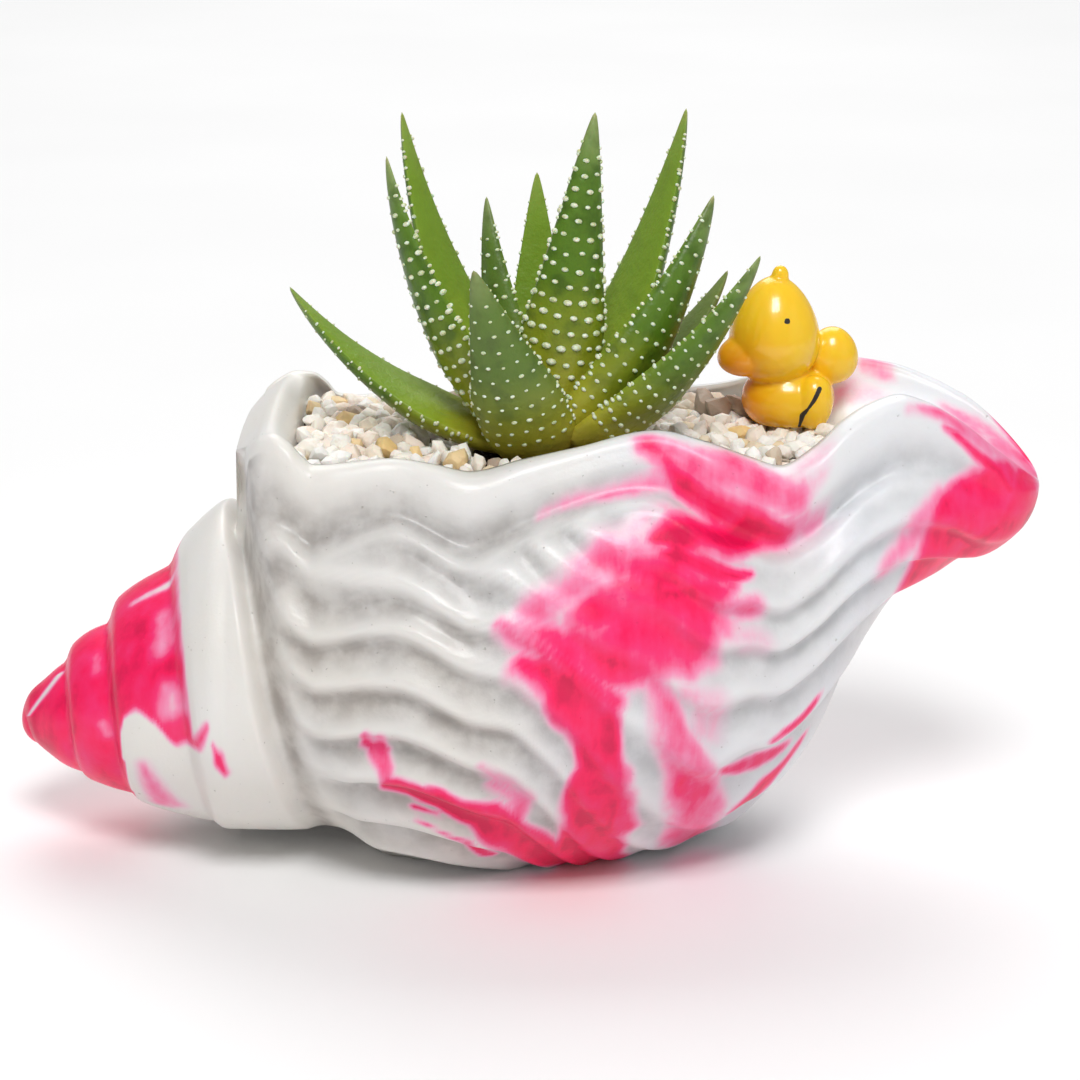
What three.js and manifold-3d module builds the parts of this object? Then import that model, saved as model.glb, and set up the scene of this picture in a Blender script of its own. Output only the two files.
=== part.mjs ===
// A small haworthia in a ceramic planter shaped like a conch shell, topdressed with white grit,
// with a little glossy duck standing on the grit. Millimetres, +Z up, +X towards the shell's spout,
// -Y towards the front. The origin is the middle of the planter's flat base.

import * as THREE from 'three';
import { mergeVertices } from 'three/addons/utils/BufferGeometryUtils.js';
import Module from 'manifold-3d';

const wasm = await Module();
wasm.setup();

// ---------------------------------------------------------------- driving dimensions

const APEX_X = -71.5;            // point of the spire
const TIP_X = 69.8;              // end of the spout
const TIP_Z = 51.5;              // height of the spout's end
const TIP_LENGTH = 9.8;          // the spout rounds off over this length
const COLLAR_X = -39.6;          // where the closed spire turns into the open bowl
const WALL = 4.6;                // thickness of the planter's wall
const RIM_BLEND = 0.06;          // share of the inside's turn in which the rim thins to the wall
const NECK_BELOW = 4.6;          // the neck's middle, down from the lip's outer edge
const NECK_HALF = 2.7;           // and how far it spreads
const NECK_DEPTH = 0.7;          // its depth under the narrowest lip
const NECK_PER_LIP = 0.5;        // and more for each millimetre of lip
const NECK_INSIDE = 0.8;         // share of the neck's depth that shows inside
const LIP_OUT = 0.7;             // the lip stands out by this share of its width
const LIP_DOWN = 0.8;            // and its outer edge hangs by this share
const SHOULDER_OUT = 3.2;        // the bowl's side starts this far outside the rim's inner edge
const SHOULDER_DOWN = 2;         // and this far below it
const FURROW = 3.4;              // depth of the groove between the last whorl and the bowl
const GAP = 0.35;                // clearance between pieces that rest against each other

const SOIL_TOP = 56.2;           // level of the soil
const GRIT_FRONT = 59.4;         // level of the grit's bed along the front rim
const GRIT_BACK = 58.9;          // and along the back rim
const PEBBLE_STEP = 2.8;         // from one pebble of the grit to the hollow beside it
const LAYER_STEP = 15;

const PLANT = [2, -5];           // the rosette's middle, x and y
const PLANT_HOLE = 10.5;         // bare soil round the rosette's foot
const STEM_FOOT = 46;            // lowest point of the stem in the soil
const STEM_HOLE = 3.6;           // radius of its hole in the soil

const DUCK = [35.2, 3.4];        // where the duck stands, x and y
const DUCK_PAD = 7.4;            // the grit is pressed level under it

// ---------------------------------------------------------------- colours

const CERAMIC = { color: 0xece9e6, roughness: 0.3, metalness: 0 };
const SOIL = { color: 0x2e231c, roughness: 0.95, metalness: 0 };
const GRIT = { color: 0xe6dfd2, roughness: 0.8, metalness: 0 };
const STEM = { color: 0xa9a45a, roughness: 0.6, metalness: 0 };
const LEAF = { color: 0x4c8a2c, roughness: 0.42, metalness: 0 };
const RESIN = { color: 0xf9b418, roughness: 0.15, metalness: 0 };

// ---------------------------------------------------------------- small maths

const { sin, cos, atan2, sqrt, abs, min, max, exp, hypot, PI } = Math;

const clamp = (value, low, high) => min(max(value, low), high);

const mix = (a, b, t) => a + (b - a) * t;

function smoothstep(low, high, value) {
  const t = clamp((value - low) / (high - low), 0, 1);
  return t * t * (3 - 2 * t);
}

// A smooth curve through knots [x, value], level beyond its ends, that never overshoots a knot.
function curve(knots, x) {
  const last = knots.length - 1;
  const at = clamp(x, knots[0][0], knots[last][0]);
  let i = 0;
  while (i < last - 1 && at >= knots[i + 1][0]) i += 1;
  const slope = (k) => (knots[k + 1][1] - knots[k][1]) / (knots[k + 1][0] - knots[k][0]);
  const tangent = (k) => {
    if (k === 0) return slope(0);
    if (k === last) return slope(last - 1);
    const before = slope(k - 1);
    const after = slope(k);
    return before * after <= 0 ? 0 : (2 * before * after) / (before + after);
  };
  const width = knots[i + 1][0] - knots[i][0];
  const t = (at - knots[i][0]) / width;
  const rise = (1 + 2 * t) * (1 - t) ** 2 * knots[i][1] + t * t * (3 - 2 * t) * knots[i + 1][1];
  return rise + width * (t * (1 - t) ** 2 * tangent(i) + t * t * (t - 1) * tangent(i + 1));
}

// ---------------------------------------------------------------- solids

// A closed body skinned over rings of points, each ring with the same number of them,
// between a first and a last single point.
function ringBody(first, rings, last) {
  const size = rings[0].length;
  const points = [first, ...rings.flat(), last];
  const end = points.length - 1;
  const faces = [];
  for (let j = 0; j < size; j += 1) {
    const k = (j + 1) % size;
    faces.push(0, 1 + k, 1 + j);
    for (let i = 0; i < rings.length - 1; i += 1) {
      const near = 1 + i * size;
      const far = near + size;
      faces.push(near + j, near + k, far + k, near + j, far + k, far + j);
    }
    faces.push(end, end - size + j, end - size + k);
  }
  const geometry = new THREE.BufferGeometry();
  geometry.setAttribute('position', new THREE.Float32BufferAttribute(points.flat(), 3));
  geometry.setIndex(signedVolume(points, faces) < 0 ? faces.reverse() : faces);
  return geometry;
}

function signedVolume(points, faces) {
  let volume = 0;
  for (let i = 0; i < faces.length; i += 3) {
    const [a, b, c] = [points[faces[i]], points[faces[i + 1]], points[faces[i + 2]]];
    volume += a[0] * (b[1] * c[2] - b[2] * c[1]) + a[1] * (b[2] * c[0] - b[0] * c[2])
      + a[2] * (b[0] * c[1] - b[1] * c[0]);
  }
  return volume;
}

function toSolid(geometry) {
  const bare = geometry.clone();
  bare.deleteAttribute('normal');
  bare.deleteAttribute('uv');
  const welded = mergeVertices(bare, 1e-4);
  return new wasm.Manifold(new wasm.Mesh({
    numProp: 3,
    vertProperties: new Float32Array(welded.attributes.position.array),
    triVerts: new Uint32Array(welded.index.array),
  }));
}

function toGeometry(solid) {
  const mesh = solid.getMesh();
  const geometry = new THREE.BufferGeometry();
  geometry.setAttribute('position', new THREE.BufferAttribute(mesh.vertProperties, 3));
  geometry.setIndex(new THREE.BufferAttribute(mesh.triVerts, 1));
  return geometry;
}

// The largest separate body of a cut solid: loose scraps of a cut are dropped.
function mainBody(solid) {
  return solid.decompose().reduce((a, b) => (b.volume() > a.volume() ? b : a));
}

// A block over the plan of the planter between two height functions of x and y.
function layer(bottom, top, step) {
  const [columns, rows] = [2 * Math.round(44 / step), 2 * Math.round(30 / step)];
  const block = new THREE.BoxGeometry(columns * step, rows * step, 1, columns, rows, 1);
  const place = block.attributes.position;
  for (let i = 0; i < place.count; i += 1) {
    const height = place.getZ(i) > 0 ? top : bottom;
    place.setZ(i, height(place.getX(i), place.getY(i)));
  }
  return toSolid(block);
}

// ---------------------------------------------------------------- the shell planter

// The shell is laid out along X. At each station it is a closed outline round a rising axis,
// measured by the angle from the top, through the front and the bottom, to the back.

const TURNS = [[-71.5, 0], [-68.7, 0.5], [-65, 1], [-62.2, 1.5], [-58.8, 2], [-54.8, 2.5],
  [-49.8, 3], [-43.2, 3.5], [-39.9, 4], [-28.6, 4.5], [-20, 5]];
const SPIRE_RADIUS = [[-71.5, 0], [-71.2, 1.4], [-70.2, 2.9], [-68.3, 4.3], [-65, 7], [-58.5, 11.2],
  [-49.3, 17.2], [-40.5, 22.4], [-28, 26.5], [-20, 28]];
const WHORL_SWELL = 2.3;
const SWELL_CREST = 0.2;         // a whorl is highest this share of a turn after its suture
const AXIS_Z = [[-71.5, 16.7], [-65, 17.9], [-58.5, 19.6], [-49.3, 22.3], [-40, 25.8], [-30, 29],
  [-20, 32], [-10, 33.5], [0, 34.5], [10, 36], [20, 38], [27, 40], [33, 42.5], [38, 45],
  [42, 47.5], [46, 50], [50, 52], [56, 52.6], [60, 52.2], [70, 51]];
const HALF_WIDTH = [[-40, 22.5], [-30, 26.5], [-20, 30.6], [-10, 33.3], [0, 34.3], [10, 33.8],
  [20, 31.8], [27, 29], [33, 25.8], [38, 23], [42, 20.5], [46, 18], [50, 16], [56, 13.5],
  [60, 11.8], [70, 9.5]];
const HALF_DEPTH = [[-40, 23], [-30, 27], [-20, 33], [-10, 36.2], [0, 37.6], [10, 38.3],
  [20, 38.1], [27, 37.4], [33, 35.5], [38, 30.9], [42, 25.2], [46, 19], [50, 16], [56, 12.8],
  [60, 11], [70, 9.3]];
// The edge of the last whorl by angle from the top, the same on both sides.
const WHORL_EDGE = [[0, -39.9], [0.35, -39.2], [0.6, -38.2], [1, -36.6], [1.57, -34.6],
  [2.2, -31.5], [2.75, -28.8], [PI, -28]];

// The rim's inner edge: height and distance from the middle plane, front and back. Then how wide
// its lip is beside the front one, and how far above it the grit may lie.
const RIM = {
  front: {
    z: [[-40, 58.4], [-37.2, 60.6], [-35.2, 62.6], [-33.4, 63.2], [-31.4, 62.2],
      [-29.9, 60.6], [-28.2, 59.4], [-25, 59.7], [-18, 60.4], [-12, 59.8], [-7.6, 59.1],
      [-1, 60.6], [6, 62], [16.5, 64.1], [23, 62.7], [29, 60.5], [32.8, 59.3], [37, 61.1],
      [41.5, 64.5], [44.5, 66], [48.5, 67], [52.5, 65.7], [56.6, 63.2], [62.8, 58.2], [70, 54]],
    y: [[-40, 7], [-39, 10.5], [-38, 13], [-36, 15.2], [-33, 16.8], [-30, 18], [-25, 19],
      [-18, 19], [-7.6, 20.5], [6, 19.5], [16.5, 18.6], [25, 19], [32.8, 18.5], [38, 16],
      [44, 13], [48.5, 11.4], [56, 9.2], [62, 7], [70, 5]],
    flare: 1,
    heap: -1.1,
  },
  back: {
    z: [[-40, 57.6], [-38.4, 59.4], [-35.5, 61.6], [-33.2, 62.4], [-30.7, 62], [-28.9, 60.6],
      [-27.4, 58.8], [-25, 58.3], [0, 58.4], [15, 58.8], [25, 59.8], [33, 62], [40, 65],
      [44, 65.6], [50, 65.1], [56, 63], [62, 60.1], [70, 56]],
    y: [[-40, 7], [-39, 10], [-38, 12], [-36, 14.4], [-33, 16.4], [-28, 18], [-20, 19.5],
      [0, 21], [20, 20], [33, 17.5], [44, 13.5], [50, 11.5], [56, 9.4], [62, 7.2], [70, 5]],
    flare: 0.8,
    heap: -0.3,
  },
};
// How wide the rolled lip is: its outer edge stands out and hangs below the inner edge.
const LIP = [[-40, 3], [-30, 4], [-18, 2.8], [-8, 5.2], [2, 3.6], [9, 2.9], [16.6, 3.4],
  [26, 6], [33, 6.3], [39, 6.6], [45, 5.4], [50, 4.2], [57, 2.6], [70, 2]];
// Ribs counted down the side from the lip: by distance at the left and at the right of the
// bowl, how far the count slides along it, and how high the ribs stand.
const RIBS_LEFT = [[0, -1.4], [3, -0.9], [7.3, 0], [14.8, 1], [20.4, 2], [27.3, 3], [34.3, 4],
  [42.5, 5], [52, 6], [63, 7], [90, 9]];
const RIBS_RIGHT = [[0, -1.6], [3, -1], [8.3, 0], [14.9, 1], [20.6, 2], [29.3, 3], [41.3, 4],
  [60, 5], [90, 6.4]];
const RIB_SLIDE = [[-40, 0.7], [-32, 0.55], [-27, 0.3], [-23, 0.05], [-16.8, -0.28],
  [-10.2, -0.38], [-3.8, -0.83], [2, -1.8], [9, -2.9], [12, -3.2], [22, -3.5], [30, -3],
  [42, -2.9], [60, -2.9]];
const RIB_HEIGHT = [[-40, 0.9], [-33, 1.7], [-15, 1.8], [-5, 1.3], [3, 0.7], [15, 0.55],
  [22, 1.2], [28, 1.8], [45, 1.7], [55, 1.1], [62, 0.5], [70, 0]];
// The lowest height of the inside, and how far below its rims the ear at the collar dips and the
// spout's channel lies.
const FLOOR_Z = [[-40, 6], [15, 6], [25, 9], [31, 16], [35, 28], [38, 44], [41, 56.5],
  [70, 56.5]];
const CHANNEL = [[-40, -0.6], [-34.8, -0.6], [-31, 3.4], [-29, 5], [36, 8], [41, 7.6],
  [44, 6.3], [50, 5.5], [56, 3.9], [62, 2.4], [70, 1]];

const STATIONS = [[0, -71.35], [0.03, -70.6], [0.08, -68.5], [0.34, -41.5], [0.38, -39.4],
  [0.42, -36], [0.52, -29.6], [0.92, 60], [0.97, 67], [1, 69.65]];
const STATION_COUNT = 48;
const OUTSIDE_POINTS = 54;
const RIM_POINTS = 2;
const INSIDE_POINTS = 11;
const STEEPEST_SHOULDER = 0.12;
const SIDE_CROWDING = 0.05;      // outline points crowd towards the ribbed sides
const RIM_CROWDING = 0.12;       // and those of the inside towards the rims

function foldToFront(angle) {
  return angle > PI ? 2 * PI - angle : angle;
}

function spireRadius(x, angle) {
  const turn = curve(TURNS, x) - angle / (2 * PI);
  const part = turn - Math.floor(turn);
  const rising = sin((PI / 2) * (part / SWELL_CREST));
  const falling = cos((PI / 2) * ((part - SWELL_CREST) / (1 - SWELL_CREST)));
  const underneath = smoothstep(1.7, 2.9, foldToFront(angle));
  const swell = mix(part < SWELL_CREST ? rising : falling, 0.5, 0.75 * underneath);
  const core = curve(SPIRE_RADIUS, x);
  const tuck = FURROW * smoothstep(-2.4, 0.6, x - curve(WHORL_EDGE, foldToFront(angle)));
  return core + swell * min(WHORL_SWELL, 0.2 * core) - tuck * (1 - 0.8 * underneath);
}

function bowlRadius(x, angle) {
  const rim = angle > PI ? RIM.back : RIM.front;
  const halfWidth = curve(HALF_WIDTH, x);
  let halfHeight = curve(HALF_DEPTH, x);
  if (cos(angle) > 0) {
    const reach = (curve(rim.y, x) + SHOULDER_OUT) / halfWidth;
    const rise = curve(rim.z, x) - SHOULDER_DOWN - curve(AXIS_Z, x);
    halfHeight = rise / sqrt(clamp(1 - reach * reach, STEEPEST_SHOULDER, 1));
  }
  return 1 / hypot(sin(angle) / halfWidth, cos(angle) / halfHeight);
}

// Outer radius without the lip and the ribs.
function plainRadius(x, angle) {
  const folded = foldToFront(angle);
  const past = x - curve(WHORL_EDGE, folded);
  const soft = mix(1.8, 9, smoothstep(0.35, 2, folded));
  return mix(spireRadius(x, angle), bowlRadius(x, angle), smoothstep(0.2, soft, past));
}

// How much of the bowl, rather than the spire, there is at a place.
function onBowl(x, angle) {
  const folded = foldToFront(angle);
  const soft = mix(2.5, 10, smoothstep(0.5, 2.2, folded));
  return smoothstep(0.5, soft, x - curve(WHORL_EDGE, folded));
}

// A rib's crest lies nearer the valley below it than the one above.
function ribRise(x, below) {
  const sides = smoothstep(-5, 25, x);
  const count = mix(curve(RIBS_LEFT, below), curve(RIBS_RIGHT, below), sides) + curve(RIB_SLIDE, x);
  const valley = cos(PI * (count - 0.12 * sin(PI * count) ** 2)) ** 2;
  return (0.5 - valley) * curve(RIB_HEIGHT, x) * smoothstep(6, 10, below);
}

// Outer radius with the neck under the lip but no ribs. The lip's outer edges lie at the angles
// front and back.
function neckedRadius(x, angle, front, back) {
  const below = (angle < PI ? angle - front : back - angle) * bowlRadius(x, angle);
  const underLip = exp(-(((below - NECK_BELOW) / NECK_HALF) ** 2)) * smoothstep(TIP_X, TIP_X - 12, x);
  const neck = (NECK_DEPTH + NECK_PER_LIP * curve(LIP, x)) * underLip;
  return plainRadius(x, angle) - onBowl(x, angle) * neck;
}

function outerRadius(x, angle, front, back) {
  const reach = bowlRadius(x, angle);
  const side = smoothstep(PI - 0.25, PI + 0.25, angle);
  const rib = mix(ribRise(x, (angle - front) * reach), ribRise(x, (back - angle) * reach), side);
  return neckedRadius(x, angle, front, back) + onBowl(x, angle) * rib;
}

// Where the lip's inner and outer edges lie at a station, as [y, z].
function rimEdges(x, rim, sign) {
  const width = curve(LIP, x) * rim.flare;
  const y = curve(rim.y, x);
  const z = curve(rim.z, x);
  return { inner: [sign * y, z], outer: [sign * (y + LIP_OUT * width), z - LIP_DOWN * width] };
}

function polar(x, radius, angle) {
  return [-radius * sin(angle), curve(AXIS_Z, x) + radius * cos(angle)];
}

// Points of a rolled edge between two points, both ends left out, bulging upwards.
function rolledEdge(from, to, count) {
  const along = [to[0] - from[0], to[1] - from[1]];
  const up = along[0] >= 0 ? 1 : -1;
  return Array.from({ length: count }, (_, i) => {
    const t = (i + 1) / (count + 1);
    const bulge = 0.24 * up * sin(PI * t);
    return [from[0] + along[0] * t - along[1] * bulge, from[1] + along[1] * t + along[0] * bulge];
  });
}

// The inside from the back rim, round the bottom, to the front rim, a little in from the wall.
function insideOutline(x, count, inset) {
  const axis = curve(AXIS_Z, x);
  const { inner: front, outer: frontLip } = rimEdges(x, RIM.front, -1);
  const { inner: back, outer: backLip } = rimEdges(x, RIM.back, 1);
  const frontAngle = atan2(-front[0], front[1] - axis);
  const backAngle = 2 * PI - atan2(back[0], back[1] - axis);
  const outerFront = atan2(-frontLip[0], frontLip[1] - axis);
  const outerBack = 2 * PI - atan2(backLip[0], backLip[1] - axis);
  const backReach = hypot(back[0], back[1] - axis);
  const frontReach = hypot(front[0], front[1] - axis);
  const wall = min(WALL, 0.36 * curve(HALF_WIDTH, x));
  const floor = min(curve(FLOOR_Z, x) + inset, back[1], front[1]);
  const sunk = smoothstep(-32, -29.8, x) * smoothstep(43, 37, x);
  return Array.from({ length: count }, (_, i) => {
    const t = i / (count - 1) - RIM_CROWDING * sin((2 * PI * i) / (count - 1));
    const angle = mix(backAngle, frontAngle, t);
    const necked = neckedRadius(x, angle, outerFront, outerBack);
    let radius = mix(plainRadius(x, angle), necked, NECK_INSIDE) - wall;
    radius = mix(backReach, radius, smoothstep(0, RIM_BLEND, t));
    radius = mix(frontReach, radius, smoothstep(0, RIM_BLEND, 1 - t));
    const [y, z] = polar(x, radius - inset, angle);
    const straight = mix(back[1], front[1], t);
    const pitY = z < floor ? clamp(y, front[0] + 0.5 + inset, back[0] - 0.5 - inset) : y;
    const channelY = mix(back[0] - inset, front[0] + inset, t);
    const pitZ = clamp(z, floor, straight);
    const channel = straight - curve(CHANNEL, x) * max(sin(PI * t), 0) ** 0.6 + inset;
    return [mix(channelY, pitY, sunk), mix(channel, pitZ, sunk)];
  });
}

function potOutline(x, inset) {
  const axis = curve(AXIS_Z, x);
  const front = rimEdges(x, RIM.front, -1);
  const back = rimEdges(x, RIM.back, 1);
  const frontAngle = atan2(-front.outer[0], front.outer[1] - axis);
  const backAngle = 2 * PI - atan2(back.outer[0], back.outer[1] - axis);
  const outside = Array.from({ length: OUTSIDE_POINTS }, (_, i) => {
    const t = i / (OUTSIDE_POINTS - 1);
    const spread = t - SIDE_CROWDING * sin(2 * PI * t);
    const angle = mix(frontAngle, backAngle, spread);
    return polar(x, outerRadius(x, angle, frontAngle, backAngle), angle);
  });
  const opening = [
    ...rolledEdge(outside.at(-1), back.inner, RIM_POINTS),
    ...insideOutline(x, INSIDE_POINTS, inset),
    ...rolledEdge(front.inner, outside[0], RIM_POINTS),
  ];
  const open = smoothstep(COLLAR_X - 0.6, COLLAR_X + 0.6, x);
  const top = opening.map((point, i) => {
    const turn = backAngle + (2 * PI + frontAngle - backAngle) * ((i + 1) / (opening.length + 1));
    const angle = turn >= 2 * PI ? turn - 2 * PI : turn;
    const over = polar(x, plainRadius(x, angle), angle);
    return [mix(over[0], point[0], open), mix(over[1], point[1], open)];
  });
  return [...outside, ...top];
}

// The spout narrows to its rounded end.
function shrinkToTip(x, [y, z]) {
  const along = clamp((x - (TIP_X - TIP_LENGTH)) / TIP_LENGTH, 0, 1);
  const size = sqrt(1 - along * along);
  return [x, y * size, max(TIP_Z + (z - TIP_Z) * size, 0)];
}

function stations(count, from, to) {
  return Array.from({ length: count }, (_, i) => mix(from, to, i / (count - 1)));
}

// The planter, or one whose inside is smaller all round by an inset.
function makePot(inset) {
  const rings = stations(STATION_COUNT, 0, 1)
    .map((step) => curve(STATIONS, step))
    .map((x) => potOutline(x, inset).map((point) => shrinkToTip(x, point)));
  return ringBody([APEX_X, 0, curve(AXIS_Z, APEX_X)], rings, [TIP_X, 0, TIP_Z]);
}

// ---------------------------------------------------------------- what fills the planter

const FILL_FROM = -31.1;
const FILL_TO = 42;
const FILL_INTO_WALL = 2;        // the fill is first made too large, then cut by the planter
const FILL_RISE = 7;             // and higher than the rim, then cut to a level

// Everything between the planter's walls, a clearance away from them.
function makeFill() {
  const rings = stations(15, FILL_FROM, FILL_TO).map((x) => {
    const wall = insideOutline(x, INSIDE_POINTS, -FILL_INTO_WALL);
    const [back, front] = [wall[0], wall.at(-1)];
    const above = [[front[0] + FILL_INTO_WALL, front[1] + FILL_RISE],
      [back[0] - FILL_INTO_WALL, back[1] + FILL_RISE]];
    return [...wall, ...above].map(([y, z]) => [x, y, z]);
  });
  const middle = (ring) => [0, 1, 2].map((k) => ring.reduce((s, p) => s + p[k], 0) / ring.length);
  const plug = toSolid(ringBody(middle(rings[0]), rings, middle(rings.at(-1))));
  return mainBody(plug.subtract(toSolid(makePot(GAP))));
}

// The level that the grit is raked to.
function gritLevel(x, y) {
  return mix(GRIT_FRONT, GRIT_BACK, smoothstep(-18, 18, y)) + 0.35 * sin(0.31 * x + 1) * cos(0.27 * y);
}

// A fixed number from 0 to 1 for each place.
function scatter(x, y) {
  const wave = sin(x * 12.9898 + y * 78.233) * 43758.5453;
  return wave - Math.floor(wave);
}

// Pebbles stand up at every other point of the grit's grid, with hollows between them.
function pebbledLevel(x, y) {
  const odd = Math.round(x / PEBBLE_STEP) + Math.round(y / PEBBLE_STEP);
  const relief = odd % 2 === 0 ? mix(0.3, 1.2, scatter(x, y)) : mix(-0.8, -0.3, scatter(y, x));
  const heaped = [RIM.front, RIM.back].map((rim, i) => {
    const inwards = curve(rim.y, x) + (i === 0 ? y : -y);
    return curve(rim.z, x) + rim.heap + 0.6 * max(inwards, 0);
  });
  const underDuck = hypot(x - DUCK[0], y - DUCK[1]) < DUCK_PAD;
  return underDuck ? gritLevel(...DUCK) : min(gritLevel(x, y) + relief, ...heaped);
}

function cylinderAt([x, y], radius, bottom, top, sides) {
  const geometry = new THREE.CylinderGeometry(radius, radius, top - bottom, sides);
  geometry.rotateX(PI / 2);
  geometry.translate(x, y, (top + bottom) / 2);
  return toSolid(geometry);
}

function makeSoil(fill) {
  const level = layer(() => 0, () => SOIL_TOP, LAYER_STEP);
  const hole = cylinderAt(PLANT, STEM_HOLE, STEM_FOOT - 0.3, SOIL_TOP + 5, 12);
  return mainBody(fill.intersect(level).subtract(hole));
}

// The pebbles lie locked together in one bed, clear of the rim where they are heaped above it,
// and open round the foot of the rosette.
function makeGrit(fill, leafRoom) {
  const rim = toSolid(makePot(GAP)).translate(0, 0, 2 * GAP);
  const foot = cylinderAt(PLANT, PLANT_HOLE, SOIL_TOP - 5, SOIL_TOP + 12, 20);
  const bed = fill.intersect(layer(() => SOIL_TOP + GAP, pebbledLevel, PEBBLE_STEP));
  return mainBody(bed.subtract(foot).subtract(rim).subtract(wasm.Manifold.union(leafRoom)));
}

// ---------------------------------------------------------------- the plant

// The stub of stem that the leaves grow from, with its root end in the soil.
function makeStem(grow) {
  const profile = [[0, STEM_FOOT], [2.4, STEM_FOOT + 1], [2.9, 56.5], [4.2, 58.4], [4, 60],
    [2.6, 63], [0, 64.5]].map(([r, z], i, all) => {
    const inner = i > 0 && i < all.length - 1;
    const end = i === 0 ? -grow : grow;
    return new THREE.Vector2(inner ? r + grow : 0, inner ? z : z + end);
  });
  const geometry = new THREE.LatheGeometry(profile, 10);
  geometry.rotateX(PI / 2);
  geometry.translate(PLANT[0], PLANT[1], 0);
  return geometry;
}

// Each leaf: where its tip is, which way its outer face looks, how far it stands from the
// rosette's middle at its foot, the height of its foot, its half width, and how far it bows out.
const LEAVES = [
  { tip: [-7.1, -19, 85.4], out: [-0.2, -1], foot: 4.6, z: 59.5, half: 6.4, bow: 3 },
  { tip: [24.3, -4, 92.1], out: [0.72, -0.7], foot: 4.4, z: 60, half: 5.9, bow: 5 },
  { tip: [30.2, -10, 85.3], out: [0.85, -0.5], foot: 6, z: 59.8, half: 6, bow: 4.5 },
  { tip: [-32, -3, 79.5], out: [-1, 0.12], foot: 4.6, z: 59.6, half: 5.8, bow: 6 },
  { tip: [-18.7, -5, 97.5], out: [-0.85, -0.5], foot: 3.6, z: 60, half: 5.2, bow: 6 },
  { tip: [8.6, -5, 103.3], out: [0.15, -1], foot: 3, z: 61.5, half: 5.7, bow: 1.5 },
  { tip: [21.2, 10, 101.2], out: [0.85, 0.55], foot: 3.6, z: 60.5, half: 6, bow: 4 },
  { tip: [-17.3, 10, 100.7], out: [-0.8, 0.6], foot: 3.6, z: 60.5, half: 5.2, bow: 6 },
  { tip: [-5.7, -1, 91.3], out: [-0.75, -0.65], foot: 2.6, z: 62.5, half: 4.6, bow: 2 },
  { tip: [1, 5, 93.4], out: [-0.15, 1], foot: 2.6, z: 62.5, half: 4.5, bow: 1.5 },
  { tip: [26.9, 5, 79.9], out: [1, 0.4], foot: 4.4, z: 60, half: 5.8, bow: 4 },
  { tip: [2.5, 18, 82.4], out: [0, 1], foot: 4.2, z: 60, half: 4.8, bow: 4 },
  { tip: [13.3, 17, 79.4], out: [0.5, 0.85], foot: 4.2, z: 59.5, half: 4.6, bow: 4 },
  { tip: [-11.4, 16, 80.8], out: [-0.6, 0.8], foot: 4.2, z: 59.5, half: 4.6, bow: 4 },
];
const LEAF_TAPER = [[0, 0.86], [0.12, 0.98], [0.3, 0.97], [0.5, 0.74], [0.7, 0.48], [0.85, 0.28],
  [0.95, 0.13], [1, 0.03]];
const LEAF_BULGE = [[0, 0.5], [0.3, 0.56], [0.7, 0.66], [1, 0.8]];
const LEAF_STATIONS = 9;
// A leaf's section from edge to edge over the rounded outer face and back over the inner one:
// across in half widths, and outwards in bulges.
const LEAF_SECTION = [[1, 0], [0.7, 0.62], [0, 1], [-0.7, 0.62], [-1, 0], [-0.5, -0.18],
  [0.5, -0.18]];
const TUBERCLE = 0.9;            // from its middle to a corner; a third of it is sunk
const TUBERCLE_ROWS = 7;
const TUBERCLE_ROOM = 1.9;       // none stands nearer than this to another leaf

function leafFrame(leaf, u) {
  const out = new THREE.Vector3(leaf.out[0], leaf.out[1], 0).normalize();
  const foot = new THREE.Vector3(PLANT[0], PLANT[1], leaf.z).addScaledVector(out, leaf.foot);
  const tip = new THREE.Vector3(...leaf.tip);
  const chord = tip.clone().sub(foot);
  const face = out.clone().addScaledVector(chord, -out.dot(chord) / chord.lengthSq()).normalize();
  const bend = foot.clone().add(tip).multiplyScalar(0.5).addScaledVector(face, leaf.bow);
  const spine = new THREE.QuadraticBezierCurve3(foot, bend, tip);
  const along = spine.getTangent(u);
  const outward = face.clone().addScaledVector(along, -face.dot(along)).normalize();
  const across = new THREE.Vector3().crossVectors(along, outward);
  return { centre: spine.getPoint(u), along, outward, across };
}

function leafPoint(leaf, u, across, outward, grow) {
  const frame = leafFrame(leaf, u);
  const half = leaf.half * curve(LEAF_TAPER, u);
  const bulge = half * curve(LEAF_BULGE, u);
  const spread = across * half + Math.sign(across) * grow;
  const rise = outward * bulge + Math.sign(outward) * grow;
  return frame.centre.addScaledVector(frame.across, spread).addScaledVector(frame.outward, rise);
}

function leafBody(leaf, grow) {
  const rings = stations(LEAF_STATIONS, 0, 0.975)
    .map((u) => LEAF_SECTION.map(([a, o]) => leafPoint(leaf, u, a, o, grow).toArray()));
  const foot = leafFrame(leaf, 0);
  const tip = leafFrame(leaf, 1);
  const first = foot.centre.addScaledVector(foot.along, -grow).toArray();
  return toSolid(ringBody(first, rings, tip.centre.addScaledVector(tip.along, grow).toArray()));
}

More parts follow.
